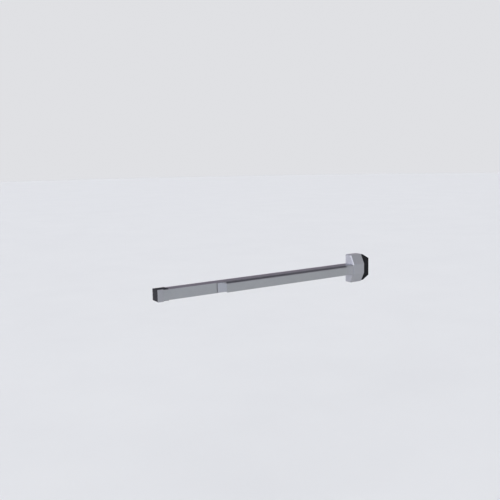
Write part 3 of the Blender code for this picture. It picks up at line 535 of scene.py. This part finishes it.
BOLT_STEEL = {
    "pale": (0.64, 0.63, 0.61), "dark": (0.50, 0.49, 0.48), "worn": (0.76, 0.75, 0.73),
    "metallic": 1.0, "roughness": (0.18, 0.30), "grain_depth": 0.00001,
    "wear": 0.6, "worn_roughness": 0.18,
}
FINISHES = {
    "satin_aluminium": {
        "pale": (0.425, 0.435, 0.44), "dark": (0.345, 0.355, 0.36), "worn": (0.62, 0.63, 0.64),
        "metallic": 1.0, "roughness": (0.32, 0.42), "stretch": ALONG_X,
        "grain": 1500.0, "grain_depth": 0.000012, "wear": 0.45,
    },
    "silver_casting": {
        "pale": (0.36, 0.36, 0.37), "dark": (0.30, 0.30, 0.31), "worn": (0.58, 0.59, 0.60),
        "metallic": 0.35, "roughness": (0.40, 0.50), "grain": 420.0, "grain_depth": 0.00003,
        "speckle": 1500.0, "speckle_depth": 0.000012, "wear": 0.5, "worn_metallic": 0.8,
        "coat": 0.15,
    },
    "black_casting": {
        "pale": (0.009, 0.009, 0.010), "dark": (0.004, 0.004, 0.005), "worn": (0.16, 0.16, 0.16),
        "metallic": 0.0, "roughness": (0.42, 0.54), "grain": 500.0, "grain_depth": 0.00004,
        "speckle": 1300.0, "speckle_depth": 0.00003, "wear": 0.30, "gloss": 0.12,
    },
    "black_moulding": {
        "pale": (0.014, 0.013, 0.014), "dark": (0.007, 0.007, 0.008), "worn": (0.05, 0.05, 0.05),
        "metallic": 0.0, "roughness": (0.48, 0.60), "grain": 700.0, "grain_depth": 0.00003,
        "speckle": 1800.0, "speckle_depth": 0.00002, "wear": 0.4, "gloss": 0.12,
        "worn_metallic": 0.0, "worn_roughness": 0.45,
    },
    "zinc_steel": {
        "pale": (0.60, 0.60, 0.575), "dark": (0.44, 0.45, 0.46), "worn": (0.70, 0.69, 0.67),
        "metallic": 1.0, "roughness": (0.30, 0.44), "stretch": (0.05, 1.0, 1.0),
        "grain": 700.0, "grain_depth": 0.000012, "wear": 0.6,
    },
    "bolt_steel": {**BOLT_STEEL, "stretch": ALONG_X, "grain": 1800.0},
    "bolt_steel_turned": {**BOLT_STEEL, "stretch": ROUND_Z, "grain": 1600.0},
    "spring_steel": {
        "pale": (0.30, 0.30, 0.31), "dark": (0.17, 0.165, 0.165), "worn": (0.50, 0.49, 0.47),
        "metallic": 1.0, "roughness": (0.26, 0.42), "grain": 900.0, "grain_depth": 0.00001,
        "wear": 0.3, "coat": 0.2,
    },
    "rubber": {
        "pale": (0.030, 0.030, 0.030), "dark": (0.016, 0.016, 0.017), "worn": (0.06, 0.058, 0.055),
        "metallic": 0.0, "roughness": (0.70, 0.86), "grain": 600.0, "grain_depth": 0.00005,
        "speckle": 1000.0, "speckle_depth": 0.00003, "wear": 0.4, "worn_metallic": 0.0,
        "worn_roughness": 0.8,
    },
}
SURFACES = {name: finish_of(name, **settings) for name, settings in FINISHES.items()}
TURNED_STEEL = SURFACES["bolt_steel_turned"]


# ---------------------------------------------------------------- screws
SCREW_FACING = {
    "end_cap_screw": "-X",
    "head_cover_screw_top": "+Z",
    "head_cover_screw_bottom": "-Z",
}
SHANK_SHARE = 0.54  # a screw's shank against its head


def screw_sizes(node):
    """Where a screw's flat top is, the way it faces, and its head, shank and length."""
    low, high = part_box(node)
    facing = SCREW_FACING.get(node, "-Y")
    axis = "XYZ".index(facing[1])
    place = (low + high) / 2
    place[axis] = high[axis] if facing[0] == "+" else low[axis]
    across = (axis + 1) % 3
    head = (high[across] - low[across]) / 2
    shank = round(head * SHANK_SHARE, 4)
    return place, facing, head, shank, high[axis] - low[axis]


def screw(node):
    place, facing, head, shank, length = screw_sizes(node)
    cone = head - shank
    lip = 0.00015
    profile = [
        (0, 0),
        (head - 2 * lip, 0),
        (head - lip, -lip * 0.3),
        (head, -lip),
        (shank, -cone),
        (shank, -length + 3 * lip),
        (shank - 3 * lip, -length),
        (0, -length),
    ]
    socket_radius = head * 0.40
    hexagon = arc((0, 0), socket_radius, 0, 2 * pi, 6)[:-1]
    turn = Matrix.Translation(place) @ FACING[facing]
    socket = prism(hexagon, "Z", -head * 0.42, 0.001, turn)
    piece(node, shape(turned(profile, place, facing), [socket], edge=0.00006))


def screw_hole(node):
    """The countersunk hole a screw needs, as a cutter."""
    place, facing, head, shank, length = screw_sizes(node)
    above = 0.001
    profile = [(0, above), (head + GAP, above), (head + GAP, 0), (shank + GAP, shank - head),
               (shank + GAP, -length - above), (0, -length - above)]
    return turned(profile, place, facing)


# ---------------------------------------------------------------- rail, cover and left end
def rail():
    low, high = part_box("rail_channel")
    outline = channel(high.y, low.y, high.z, RAIL_WALL, RAIL_BACK, bend=0.0008, lip=0.0004)
    holes = ["end_bracket_screw_1", "end_bracket_screw_2"]
    holes += [f"crank_screw_{side}_{n}" for side in ("left", "right") for n in (1, 2)]
    base = prism(outline, "X", low.x, high.x)
    piece("rail_channel", shape(base, [screw_hole(n) for n in holes], edge=0.0002))


def cover():
    """The fixed filler plate left of the pad: a shallow U whose legs stand inside the rail."""
    low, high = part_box("rail_cover")
    leg = high.z - RAIL_WALL - GAP
    leg_wall = 0.0015
    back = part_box("rail_channel")[0].y - GAP
    edge = 0.0008
    outline = rounded(
        [
            (low.y, low.z, edge),
            (back, low.z, 0.0002),
            (back, -leg, 0),
            (high.y, -leg, 0.0003),
            (high.y, -leg + leg_wall, 0.0003),
            (back, -leg + leg_wall, 0.0004),
            (back, leg - leg_wall, 0.0004),
            (high.y, leg - leg_wall, 0.0003),
            (high.y, leg, 0.0003),
            (back, leg, 0),
            (back, high.z, 0.0002),
            (low.y, high.z, edge),
        ],
        6,
    )
    piece("rail_cover", shape(prism(outline, "X", low.x, high.x), edge=0.00025))


def end_cap():
    """The black moulded cap over the rail's left end; its top and bottom run on along the rail."""
    low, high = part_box("end_cap")
    wall, side_wall = 0.0017, 0.0038
    face_low, face_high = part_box("end_cap_face")
    inside = block(
        (low.x + side_wall, low.y + wall, low.z + wall), (high.x + BEYOND, BEYOND, high.z - wall)
    )
    rail_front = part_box("rail_channel")[0].y
    front = block(
        (face_high.x, low.y - BEYOND, low.z - BEYOND),
        (high.x + BEYOND, rail_front - GAP, high.z + BEYOND),
    )
    cuts = [inside, front, screw_hole("end_cap_screw")]
    back, middle = low.y - GAP, (face_low.x + face_high.x) / 2
    peg, past = 0.0020, 0.001
    places = [(middle, 0, height) for height in (-0.0160, 0.0160)]
    cuts += [rod("Y", place, peg + GAP, low.y - past, low.y + wall + past) for place in places]
    piece("end_cap", shape(block(low, high), cuts, soft=0.0011, edge=0.00025))
    pegs = [rod("Y", place, peg, back - past, back + wall) for place in places]
    plate = block(face_low, (face_high.x, back, face_high.z))
    piece("end_cap_face", shape(plate, [], pegs, soft=0.0009, edge=0.0001))


def end_bracket():
    low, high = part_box("end_bracket")
    base = 0.0025
    outline = rounded(
        [
            (low.x, high.y, 0.0008),
            (high.x, high.y, 0.0004),
            (high.x, high.y - base, 0.0004),
            (low.x + base, high.y - base, 0.0008),
            (low.x + base, low.y, 0.0004),
            (low.x, low.y, 0.0004),
        ],
        5,
    )
    holes = [screw_hole(n) for n in ("end_bracket_screw_1", "end_bracket_screw_2", "end_cap_screw")]
    piece("end_bracket", shape(prism(outline, "Z", low.z, high.z), holes, edge=0.0002))


# ---------------------------------------------------------------- bell cranks, rod and guides
CRANK_X = {
    side: sum(corner.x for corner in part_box(f"crank_pin_{side}")) / 2
    for side in ("left", "right")
}
CRANK_Y = sum(corner.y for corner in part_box("crank_pin_left")) / 2
TONGUE = (0.0070, 0.0090)  # heights of the pad bracket's tongue


def crank_bracket(side, x):
    node = f"crank_bracket_{side}"
    low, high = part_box(node)
    outline = channel(high.y, low.y, high.z, SHEET, base=0.0022, bend=0.0026, lip=0.0005)
    cuts = [screw_hole(f"crank_screw_{side}_{n}") for n in (1, 2)]
    cuts.append(rod("Z", (x, CRANK_Y, 0), CRANK_PIN + GAP, -0.02, 0.02))
    piece(node, shape(prism(outline, "X", low.x, high.x), cuts, edge=0.0002))


def crank_pin(side, x):
    node = f"crank_pin_{side}"
    low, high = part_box(node)
    head, under_head, chamfer = 0.0040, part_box(f"crank_bracket_{side}")[1].z + GAP, 0.0004
    profile = [
        (0, high.z),
        (head - chamfer, high.z),
        (head, high.z - chamfer),
        (head, under_head),
        (CRANK_PIN, under_head),
        (CRANK_PIN, low.z + chamfer),
        (CRANK_PIN - chamfer, low.z),
        (0, low.z),
    ]
    piece(node, shape(turned(profile, (x, CRANK_Y, 0)), edge=0.0001), TURNED_STEEL)


def crank(side, x):
    """A bell crank: one arm along +X to the pad, one along +Y to the rod."""
    tip, hub = 0.0042, 0.0055
    bottom, top = 0.0022, 0.0062
    hub_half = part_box(f"crank_bracket_{side}")[1].z - SHEET - GAP
    turn = Matrix.Translation((x, CRANK_Y, 0)) @ Matrix.Rotation(-CRANK_THROW / 2, 4, "Z")
    outline = hull([(0, 0, hub + 0.0005), (CRANK_PAD_ARM, 0, tip), (0, CRANK_ROD_ARM, tip)])
    base = prism(outline, "Z", bottom, top, turn)
    joins = [
        rod("Z", (0, 0, 0), hub, -hub_half, hub_half, matrix=turn),
        rod("Z", (CRANK_PAD_ARM, 0, 0), CRANK_PIN, bottom + 0.001, TONGUE[1] + 0.0015, matrix=turn),
        rod("Z", (0, CRANK_ROD_ARM, 0), ROD_PIN, -0.0030, top - 0.001, matrix=turn),
    ]
    bore = rod("Z", (0, 0, 0), CRANK_PIN + GAP, -0.02, 0.02, matrix=turn)
    piece(f"crank_{side}", shape(base, [bore], joins, edge=0.00025))


def slotted_rod():
    low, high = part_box("pull_rod")
    slot = ROD_PIN + PLAY
    near = CRANK_Y + CRANK_ROD_ARM * cos(CRANK_THROW / 2)
    far = CRANK_Y + CRANK_ROD_ARM
    cuts = []
    for x in CRANK_X.values():
        pin_x = x + CRANK_ROD_ARM * sin(CRANK_THROW / 2)
        cuts.append(prism(hull([(pin_x, near, slot), (pin_x, far, slot)]), "Z", -BEYOND, BEYOND))
    piece("pull_rod", shape(block(low, high), cuts, edge=0.0003))


def rod_end():
    low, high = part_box("rod_end_block")
    pivot = lever_pivot()
    pin_x = pivot.x + LEVER_ROD_ARM * sin(LEVER_THROW / 2)
    heights = (pivot.z + LEVER_ROD_ARM * cos(LEVER_THROW / 2), pivot.z + LEVER_ROD_ARM)
    slot = prism(hull([(pin_x, z, LEVER_PIN + PLAY) for z in heights]), "Y", -0.03, 0.0)
    piece("rod_end_block", shape(block(low, high), [slot], soft=0.0006, edge=0.0002))


def rod_pieces(side, x):
    """A guide with its bumper, and the collar and return spring beside it."""
    low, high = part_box(f"rod_guide_{side}")
    rod_low, rod_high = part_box("pull_rod")
    play = 0.0005
    passage = block(
        (low.x - BEYOND, rod_low.y - play, rod_low.z - play),
        (high.x + BEYOND, rod_high.y + play, rod_high.z + play),
    )
    rib, width, half_height = 0.0015, 0.0065, 0.0045
    pockets = [
        block((x + near, low.y + 0.006, z - half_height), (x + far, low.y + 0.020, z + half_height))
        for near, far in ((-rib - width, -rib), (rib, rib + width))
        for z in (-0.0140, 0.0140)
    ]
    made = shape(block(low, high), [passage, *pockets], soft=0.0010, edge=0.0002)
    piece(f"rod_guide_{side}", made)
    collar_low, collar_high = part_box(f"rod_collar_{side}")
    bore = block(
        (collar_low.x - BEYOND, rod_low.y - GAP, rod_low.z - GAP),
        (collar_high.x + BEYOND, rod_high.y + GAP, rod_high.z + GAP),
    )
    made = shape(block(collar_low, collar_high), [bore], soft=0.0008, edge=0.0002)
    piece(f"rod_collar_{side}", made)
    low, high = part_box(f"bumper_{side}")
    height, radius = high.y - low.y, (high.x - low.x) / 2
    profile = [
        (0, height - 0.0004),
        (0.0024, height - 0.0004),
        (0.0030, height),
        (radius - 0.0016, height),
        (radius - 0.0008, height - 0.0003),
        (radius - 0.0002, height - 0.0009),
        (radius, height - 0.0016),
        (radius, 0.0004),
        (radius - 0.0004, 0),
        (0, 0),
    ]
    piece(f"bumper_{side}", shape(turned(profile, (x, high.y, 0), "-Y"), edge=0.0001))
    low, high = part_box(f"return_spring_{side}")
    length = high.x - low.x
    middle_y = (rod_low.y + rod_high.y) / 2
    radius, wire, turns = 0.0060, 0.0007, 9
    made = shape(coil(radius, wire, length, turns, (low.x, middle_y, 0), "+X"), edge=0)
    piece(f"return_spring_{side}", made)
    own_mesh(made)


# ---------------------------------------------------------------- push pad
def pad_face(front, half, lip_end):
    """The front of the pad's outline: a round top edge, a flat face and a lip below the rail."""
    edge = 0.0007
    return [
        (front, half, PAD_CORNER),
        (front, lip_end, edge),
        (front + PAD_LIP_THICKNESS, lip_end, edge),
        (front + PAD_LIP_THICKNESS, -half, 0.0004),
    ]


def pad():
    low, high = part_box("push_pad")
    hook, inner = 0.0050, PAD_CORNER - PAD_WALL
    front, back, half = low.y, high.y, high.z
    inside = half - PAD_WALL
    edge = 0.0003
    outline = rounded(
        [
            (back, half, 0.0006),
            *pad_face(front, half, low.z),
            (back, -half, 0.0006),
            (back, -half + hook, edge),
            (back - PAD_WALL, -half + hook, edge),
            (back - PAD_WALL, -inside, edge),
            (front + PAD_WALL, -inside, 0.0008),
            (front + PAD_WALL, inside, inner),
            (back - PAD_WALL, inside, edge),
            (back - PAD_WALL, half - hook, edge),
            (back, half - hook, edge),
        ],
        14,
    )
    piece("push_pad", shape(prism(outline, "X", low.x, high.x), edge=0.0002))


def ramp_cutter(low, high, shrink):
    """All that lies in front of the left cap's sloping face, which is moved in by shrink."""
    land, shallow = 0.0010, -0.0530  # the level end beside the pad, and the outer end's front
    start, end = low.x, high.x - land
    slope = (low.y - shallow) / (end - start)
    moved = shrink * sqrt(1 + slope**2)
    face = [(x, shallow + slope * (x - start) + moved) for x in (start - BEYOND, end + BEYOND)]
    outline = face + [(x, low.y - 2 * BEYOND) for x, _ in reversed(face)]
    return prism(outline, "Z", low.z - BEYOND, high.z + BEYOND)


def pad_cap(side):
    """A hollow end of the pad. The left one's face slopes back to the level of the rail's cover."""
    node = f"pad_cap_{side}"
    low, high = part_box(node)
    wall, end_wall = 0.0022, 0.0020
    front, back, half = low.y, high.y, high.z
    face = pad_face(front, half, low.z)
    if side == "left":
        face = [(front, half, PAD_CORNER), (front, -half, PAD_LOWER_CORNER)]
    base = prism(rounded([(back, half, 0), *face, (back, -half, 0)], 14), "X", low.x, high.x)
    inside = [
        (back + BEYOND, half - wall, 0),
        (front + wall, half - wall, PAD_CORNER - wall),
        (front + wall, -half + wall, 0.0010),
        (back + BEYOND, -half + wall, 0),
    ]
    hollow = prism(rounded(inside, 14), "X", low.x + end_wall, high.x - end_wall)
    if side == "left":
        ramps = [ramp_cutter(low, high, shrink) for shrink in (0.0, wall)]
        combine(hollow, ramps[1], "DIFFERENCE")
        combine(base, ramps[0], "DIFFERENCE")
        applied(hollow)
        applied(base)
        drop(*ramps)
    piece(node, shape(base, [hollow], edge=0.0004))


def pad_bracket(side, x):
    node = f"pad_bracket_{side}"
    low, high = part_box(node)
    plate_back = low.y + SHEET
    edge = 0.0003
    outline = rounded(
        [
            (low.y, low.z, edge),
            (plate_back, low.z, edge),
            (plate_back, TONGUE[0], 0.0008),
            (high.y, TONGUE[0], edge),
            (high.y, TONGUE[1], edge),
            (plate_back, TONGUE[1], 0.0008),
            (plate_back, high.z, edge),
            (low.y, high.z, edge),
        ],
        5,
    )
    pin_y = CRANK_Y - CRANK_PAD_ARM * sin(CRANK_THROW / 2)
    slot = CRANK_PIN + PLAY
    near, far = x + CRANK_PAD_ARM * cos(CRANK_THROW / 2), x + CRANK_PAD_ARM
    cutter = prism(hull([(near, pin_y, slot), (far, pin_y, slot)]), "Z", 0.0, 0.02)
    piece(node, shape(prism(outline, "X", low.x, high.x), [cutter], edge=0.0002))


# ---------------------------------------------------------------- latch head
def head_cover():
    low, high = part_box("head_cover")
    half, band = high.z, HEAD_BAND / 2
    side = [(high.y, -half), (high.y, half), (-HEAD_EDGE_DEPTH, half), (low.y, band),
            (low.y, -band), (-HEAD_EDGE_DEPTH, -half)]
    opened = [(BEYOND if y > -BEYOND else y, z) for y, z in inset(side, HEAD_WALL)]
    cuts = [chamfered_slab(opened, high.x - HEAD_SIDE_WALL, HEAD_INNER_CHAMFER, BEYOND)]
    play, corner, reach = 0.0010, 0.0008, 0.008
    for node in ("latch_bolt", "aux_latch"):
        bolt_low, bolt_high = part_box(node)
        top = -bolt_low.z if node == "latch_bolt" else bolt_high.z
        window = rounded(
            [
                (bolt_low.y - play, bolt_low.z - play, corner),
                (bolt_high.y + play, bolt_low.z - play, corner),
                (bolt_high.y + play, top + play, corner),
                (bolt_low.y - play, top + play, corner),
            ],
            5,
        )
        cuts.append(prism(window, "X", high.x - reach, high.x + reach))
    notch_front, notch_half = -0.020, 0.010
    cuts.append(
        block((low.x - reach, notch_front, -notch_half), (low.x + reach, BEYOND, notch_half))
    )
    cuts += [screw_hole(f"head_cover_screw_{end}") for end in ("top", "bottom")]
    end_radius = HEAD_CHAMFER + 0.0004
    corner_radii = (0, 0, end_radius, 0.0060, 0.0060, end_radius)
    corners = [(y, z, radius) for (y, z), radius in zip(side, corner_radii)]
    base = chamfered_slab(rounded(corners, 10), high.x, HEAD_CHAMFER, high.y)
    piece("head_cover", shape(base, cuts, edge=0.0005))


def head_baseplate():
    low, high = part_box("head_baseplate")
    outline = channel(high.y, low.y, high.z, 0.0022, HEAD_PLATE, bend=0.0034, lip=0.0005)
    cuts = [screw_hole(f"head_mount_screw_{n}") for n in (1, 2, 3, 4)]
    cuts += [screw_hole(f"head_cover_screw_{end}") for end in ("top", "bottom")]
    size, beyond = HEAD_INNER_CHAMFER, 0.002
    for right, up in ((-1, -1), (-1, 1), (1, -1), (1, 1)):
        corner = [
            (right * (high.x - size - beyond), up * (high.z + beyond)),
            (right * (high.x + beyond), up * (high.z - size - beyond)),
            (right * (high.x + beyond), up * (high.z + beyond)),
        ]
        cuts.append(prism(corner, "Y", low.y - BEYOND, high.y + BEYOND))
    piece("head_baseplate", shape(prism(outline, "X", low.x, high.x), cuts, edge=0.0002))


def latch_case():
    low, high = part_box("latch_case")
    outline = channel(high.y, low.y, high.z, SHEET, SHEET, bend=0.0024, lip=0.0005)
    piece("latch_case", shape(prism(outline, "X", low.x, high.x), edge=0.0002))


def bolt_outline(low, high, nose_flat):
    slope = high.y - low.y - nose_flat
    return [(low.x, high.y), (low.x, low.y), (high.x - slope, low.y), (high.x, low.y + slope),
            (high.x, high.y)]


def latch_bolt():
    """The bolt: flat towards the door, bevelled nose, forked tail and a lug for the lever's pin."""
    low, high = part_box("latch_bolt")
    half = -low.z
    pivot = lever_pivot()
    pin_x = pivot.x + LEVER_BOLT_ARM * sin(LEVER_THROW / 2)
    base = prism(bolt_outline(low, high, nose_flat=0.0030), "Z", -half, half)
    fork_half, fork_right, past = 0.0045, -0.0030, 0.005
    fork = block((low.x - 0.001, low.y - past, -fork_half), (fork_right, high.y + past, fork_half))
    lug_half, lug_depth, sunk = 0.0055, 0.006, 0.003
    lug = block(
        (pin_x - lug_half, low.y, half - sunk), (pin_x + lug_half, low.y + lug_depth, high.z)
    )
    heights = (pivot.z + LEVER_BOLT_ARM * cos(LEVER_THROW / 2), pivot.z + LEVER_BOLT_ARM)
    outline = hull([(pin_x, z, LEVER_BOLT_PIN + PLAY) for z in heights])
    slot = prism(outline, "Y", low.y - BEYOND, low.y + 2 * BEYOND)
    piece("latch_bolt", shape(base, [fork, slot], [lug], soft=0.0009, edge=0.0003))


def aux_latch():
    low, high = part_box("aux_latch")
    base = prism(bolt_outline(low, high, nose_flat=0.0040), "Z", low.z, high.z)
    piece("aux_latch", shape(base, soft=0.0007, edge=0))


def aux_guide():
    low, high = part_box("aux_guide")
    wall, back_wall, end_wall, past = 0.0018, 0.0020, 0.0016, 0.02
    room = block(
        (low.x + end_wall, low.y - past, low.z + wall),
        (high.x + past, high.y - back_wall, high.z - wall),
    )
    piece("aux_guide", shape(block(low, high), [room], edge=0.0003))


def aux_spring():
    low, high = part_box("aux_spring")
    length = high.x - low.x
    latch_low, latch_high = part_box("aux_latch")
    start = Vector((low.x, (latch_low.y + latch_high.y) / 2, (latch_low.z + latch_high.z) / 2))
    radius, wire, turns = 0.0038, 0.0006, 11
    made = shape(coil(radius, wire, length, turns, start, "+X"), edge=0)
    piece("aux_spring", made)
    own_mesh(made)


def lever_pivot():
    low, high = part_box("lever_post")
    return Vector(((low.x + high.x) / 2, 0, (low.z + high.z) / 2))


def lever():
    """The lever: pins towards the door meet the rod's end and the bolt's lug."""
    pivot = lever_pivot()
    front, back = LEVER_Y
    turn = Matrix.Translation(pivot) @ Matrix.Rotation(LEVER_THROW / 2, 4, "Y")
    hub, tip = 0.0065, 0.0042
    base = prism(hull([(0, 0, hub), (0, LEVER_BOLT_ARM, tip)]), "Y", front, back, turn)
    rod_end_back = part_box("rod_end_block")[1].y - 0.0005
    bolt_pin_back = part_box("latch_bolt")[0].y + 0.0070
    joins = [
        rod("Y", (0, 0, LEVER_ROD_ARM), LEVER_PIN, front + 0.001, rod_end_back, matrix=turn),
        rod("Y", (0, 0, LEVER_BOLT_ARM), LEVER_BOLT_PIN, front + 0.001, bolt_pin_back, matrix=turn),
    ]
    bore = rod("Y", (0, 0, 0), LEVER_POST + GAP, -0.06, -0.02, matrix=turn)
    piece("lever", shape(base, [bore], joins, edge=0.0002))
    post_low, post_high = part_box("lever_post")
    top, shoulder, foot = -post_low.y, -back - GAP, 0.0035
    chamfer = 0.0004
    profile = [
        (0, top),
        (LEVER_POST - chamfer, top),
        (LEVER_POST, top - chamfer),
        (LEVER_POST, shoulder),
        (foot, shoulder),
        (foot, -post_high.y),
        (0, -post_high.y),
    ]
    piece("lever_post", shape(turned(profile, pivot, "-Y"), edge=0.00015), SURFACES["bolt_steel"])
    low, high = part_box("lever_clip")
    clip_radius, clip_start, clip_end = 0.0049, radians(125), radians(415)
    outline = arc((pivot.x, pivot.z), clip_radius, clip_start, clip_end, 40)
    outline += arc((pivot.x, pivot.z), LEVER_POST + GAP, clip_end, clip_start, 40)
    piece("lever_clip", shape(prism(outline, "Y", low.y, high.y), edge=0.0001))
    low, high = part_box("lever_spring")
    radius, wire, turns = 0.0040, 0.0006, 5
    made = coil(radius, wire, high.y - low.y, turns, (pivot.x, high.y, pivot.z), "-Y")
    piece("lever_spring", shape(made, edge=0))


# ---------------------------------------------------------------- strike
def strike():
    low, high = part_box("strike_body")
    half, edge_half = high.z, 0.0460
    shoulder = low.x + 0.0085
    outline = [(low.x, -half), (shoulder, -half), (high.x, -edge_half), (high.x, edge_half),
               (shoulder, half), (low.x, half)]
    screws = ("strike_screw_1", "strike_screw_2")
    base = prism(outline, "Y", low.y, high.y)
    wall, pocket_half, pocket_right = 0.0025, 0.0360, 0.0780
    pocket = block(
        (low.x - BEYOND, low.y + wall, -pocket_half), (pocket_right, high.y - 0.002, pocket_half)
    )
    pin_low, pin_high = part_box("strike_pin")
    pin = (pin_low + pin_high) / 2
    bore = rod("Z", pin, STRIKE_PIN + GAP, pin_low.z - 0.0005, pin_high.z + 0.0005)
    cuts = [pocket, bore] + [screw_hole(n) for n in screws]
    piece("strike_body", shape(base, cuts, soft=0.0016, edge=0.0003))
    shim_low, shim_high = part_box("strike_shim")
    shim = prism(outline, "Y", shim_low.y, shim_high.y)
    piece("strike_shim", shape(shim, [screw_hole(n) for n in screws], edge=0.0002))
    for node in screws:
        screw(node)
    chamfer = 0.0004
    end = STRIKE_PIN - chamfer
    profile = [(0, pin_high.z), (end, pin_high.z), (STRIKE_PIN, pin_high.z - chamfer),
               (STRIKE_PIN, pin_low.z + chamfer), (end, pin_low.z), (0, pin_low.z)]
    piece("strike_pin", shape(turned(profile, (pin.x, pin.y, 0)), edge=0.0001), TURNED_STEEL)
    low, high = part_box("strike_roller")
    outer, inner, chamfer = (high.x - low.x) / 2, STRIKE_PIN + GAP, 0.0006
    profile = [(inner, high.z), (outer - chamfer, high.z), (outer, high.z - chamfer),
               (outer, low.z + chamfer), (outer - chamfer, low.z), (inner, low.z)]
    piece("strike_roller", shape(turned(profile, (pin.x, pin.y, 0)), edge=0.00015), TURNED_STEEL)


# ---------------------------------------------------------------- camera, floor and light
CAMERA_PLACE = (-2.4742, -2.8682, 0.6411)
CAMERA_AZIMUTH = radians(-32.544)
CAMERA_ELEVATION = radians(8.162)
CAMERA_ROLL = radians(-1.048)
CAMERA_LENS = 50.769  # mm, on a 36 mm sensor
BAR_HEIGHT = 0.99  # of the bar's axis above the floor


def camera():
    data = bpy.data.cameras.new("camera")
    data.lens = CAMERA_LENS
    data.sensor_width = 36.0
    thing = bpy.data.objects.new("camera", data)
    SCENE.collection.objects.link(thing)
    thing.matrix_world = (
        Matrix.Translation(CAMERA_PLACE)
        @ Matrix.Rotation(CAMERA_AZIMUTH, 4, "Z")
        @ Matrix.Rotation(pi / 2 - CAMERA_ELEVATION, 4, "X")
        @ Matrix.Rotation(CAMERA_ROLL, 4, "Z")
    )
    SCENE.camera = thing


def floor():
    """A pale floor below the bar, seen out to the horizon."""
    work = bmesh.new()
    bmesh.ops.create_circle(work, cap_ends=True, segments=96, radius=40.0)
    thing = solid(work, Matrix.Translation((-0.5, 0, -BAR_HEIGHT)))
    thing.name = "floor"
    made = bpy.data.materials.new("floor")
    made.use_nodes = True
    tree = made.node_tree
    shader = tree.nodes["Principled BSDF"]
    place = add(tree, "TexCoord").outputs["Object"]
    cloud = noise(tree, place, 1.5, 4.0)
    colour = mixed(tree, cloud, (0.76, 0.76, 0.765, 1.0), (0.80, 0.80, 0.80, 1.0))
    tree.links.new(colour, shader.inputs["Base Color"])
    shader.inputs["Roughness"].default_value = 0.9
    shader.inputs["Specular IOR Level"].default_value = 0.1
    thing.data.materials.append(made)


FAR_TONE = (0.745, 0.75, 0.775, 1.0)  # the floor's own tone where it runs out of sight
ROOM_FRONT = (0.72, 0.71, 0.73, 1.0)
ROOM_FRONT_RISING = (0.30, 0.29, 0.32, 1.0)
ROOM_BEYOND = (0.33, 0.285, 0.345, 1.0)
ROOM_LEFT = (1.25, 1.38, 1.95, 1.0)
ROOM_HIGH = (0.06, 0.055, 0.075, 1.0)
ROOM_FILL = (0.40, 0.41, 0.43, 1.0)  # its even light on matt surfaces


def world():
    """A pale room. Its reflections are cool and bright to the left and dim overhead and beyond."""
    made = bpy.data.worlds.new("room")
    made.use_nodes = True
    SCENE.world = made
    tree = made.node_tree
    background = tree.nodes["Background"]
    direction = add(tree, "TexCoord").outputs["Generated"]
    axes = add(tree, "SeparateXYZ", {0: direction}).outputs
    left = spread(tree, axes[0], 0.32, -0.42, 0.0, 1.0)
    beyond = spread(tree, axes[1], -0.10, 0.60, 0.0, 1.0)
    rising = spread(tree, axes[2], 0.12, 0.50, 0.0, 1.0)
    high = spread(tree, axes[2], 0.50, 0.85, 0.0, 1.0)
    front = mixed(tree, rising, ROOM_FRONT, ROOM_FRONT_RISING)
    colour = mixed(tree, beyond, front, ROOM_BEYOND)
    colour = mixed(tree, left, colour, ROOM_LEFT)
    colour = mixed(tree, high, colour, ROOM_HIGH)
    paths = add(tree, "LightPath").outputs
    colour = mixed(tree, paths["Is Diffuse Ray"], colour, ROOM_FILL)
    colour = mixed(tree, paths["Is Camera Ray"], colour, FAR_TONE)
    tree.links.new(colour, background.inputs["Color"])
    background.inputs["Strength"].default_value = 1.0


def sun(name, towards, strength, softness, colour=(1.0, 1.0, 1.0), mirrored=True):
    """A soft, even light from a direction; one that isn't mirrored is not seen in reflections."""
    data = bpy.data.lights.new(name, "SUN")
    data.energy = strength
    data.angle = radians(softness)
    data.color = colour
    thing = bpy.data.objects.new(name, data)
    SCENE.collection.objects.link(thing)
    thing.rotation_euler = Vector(towards).to_track_quat("Z", "Y").to_euler()
    thing.visible_glossy = mirrored


def lights():
    sun("key", (-0.80, -0.40, 0.45), 1.5, 35.0, (0.97, 0.98, 1.0))
    sun("top", (0.10, -0.15, 1.0), 1.0, 70.0, mirrored=False)
    sun("front", (-0.10, -1.0, 0.12), 0.16, 20.0, (0.35, 0.65, 1.30))
    sun("rim", (-0.62, 0.78, 0.12), 0.85, 25.0, (0.97, 0.95, 1.10))


# ---------------------------------------------------------------- build
camera()
floor()
world()
lights()

rail()
cover()
end_cap()
end_bracket()
for side_name, pivot_x in CRANK_X.items():
    crank_bracket(side_name, pivot_x)
    crank_pin(side_name, pivot_x)
    crank(side_name, pivot_x)
    pad_bracket(side_name, pivot_x)
    pad_cap(side_name)
    guide_low, guide_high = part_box(f"rod_guide_{side_name}")
    rod_pieces(side_name, (guide_low.x + guide_high.x) / 2)
slotted_rod()
rod_end()
pad()
head_cover()
head_baseplate()
latch_case()
latch_bolt()
aux_latch()
aux_guide()
aux_spring()
lever()
strike()
for node_name in sorted(frame["nodes"]):
    if "screw" in node_name and not node_name.startswith("strike"):
        screw(node_name)

SCENE.view_settings.view_transform = "Standard"
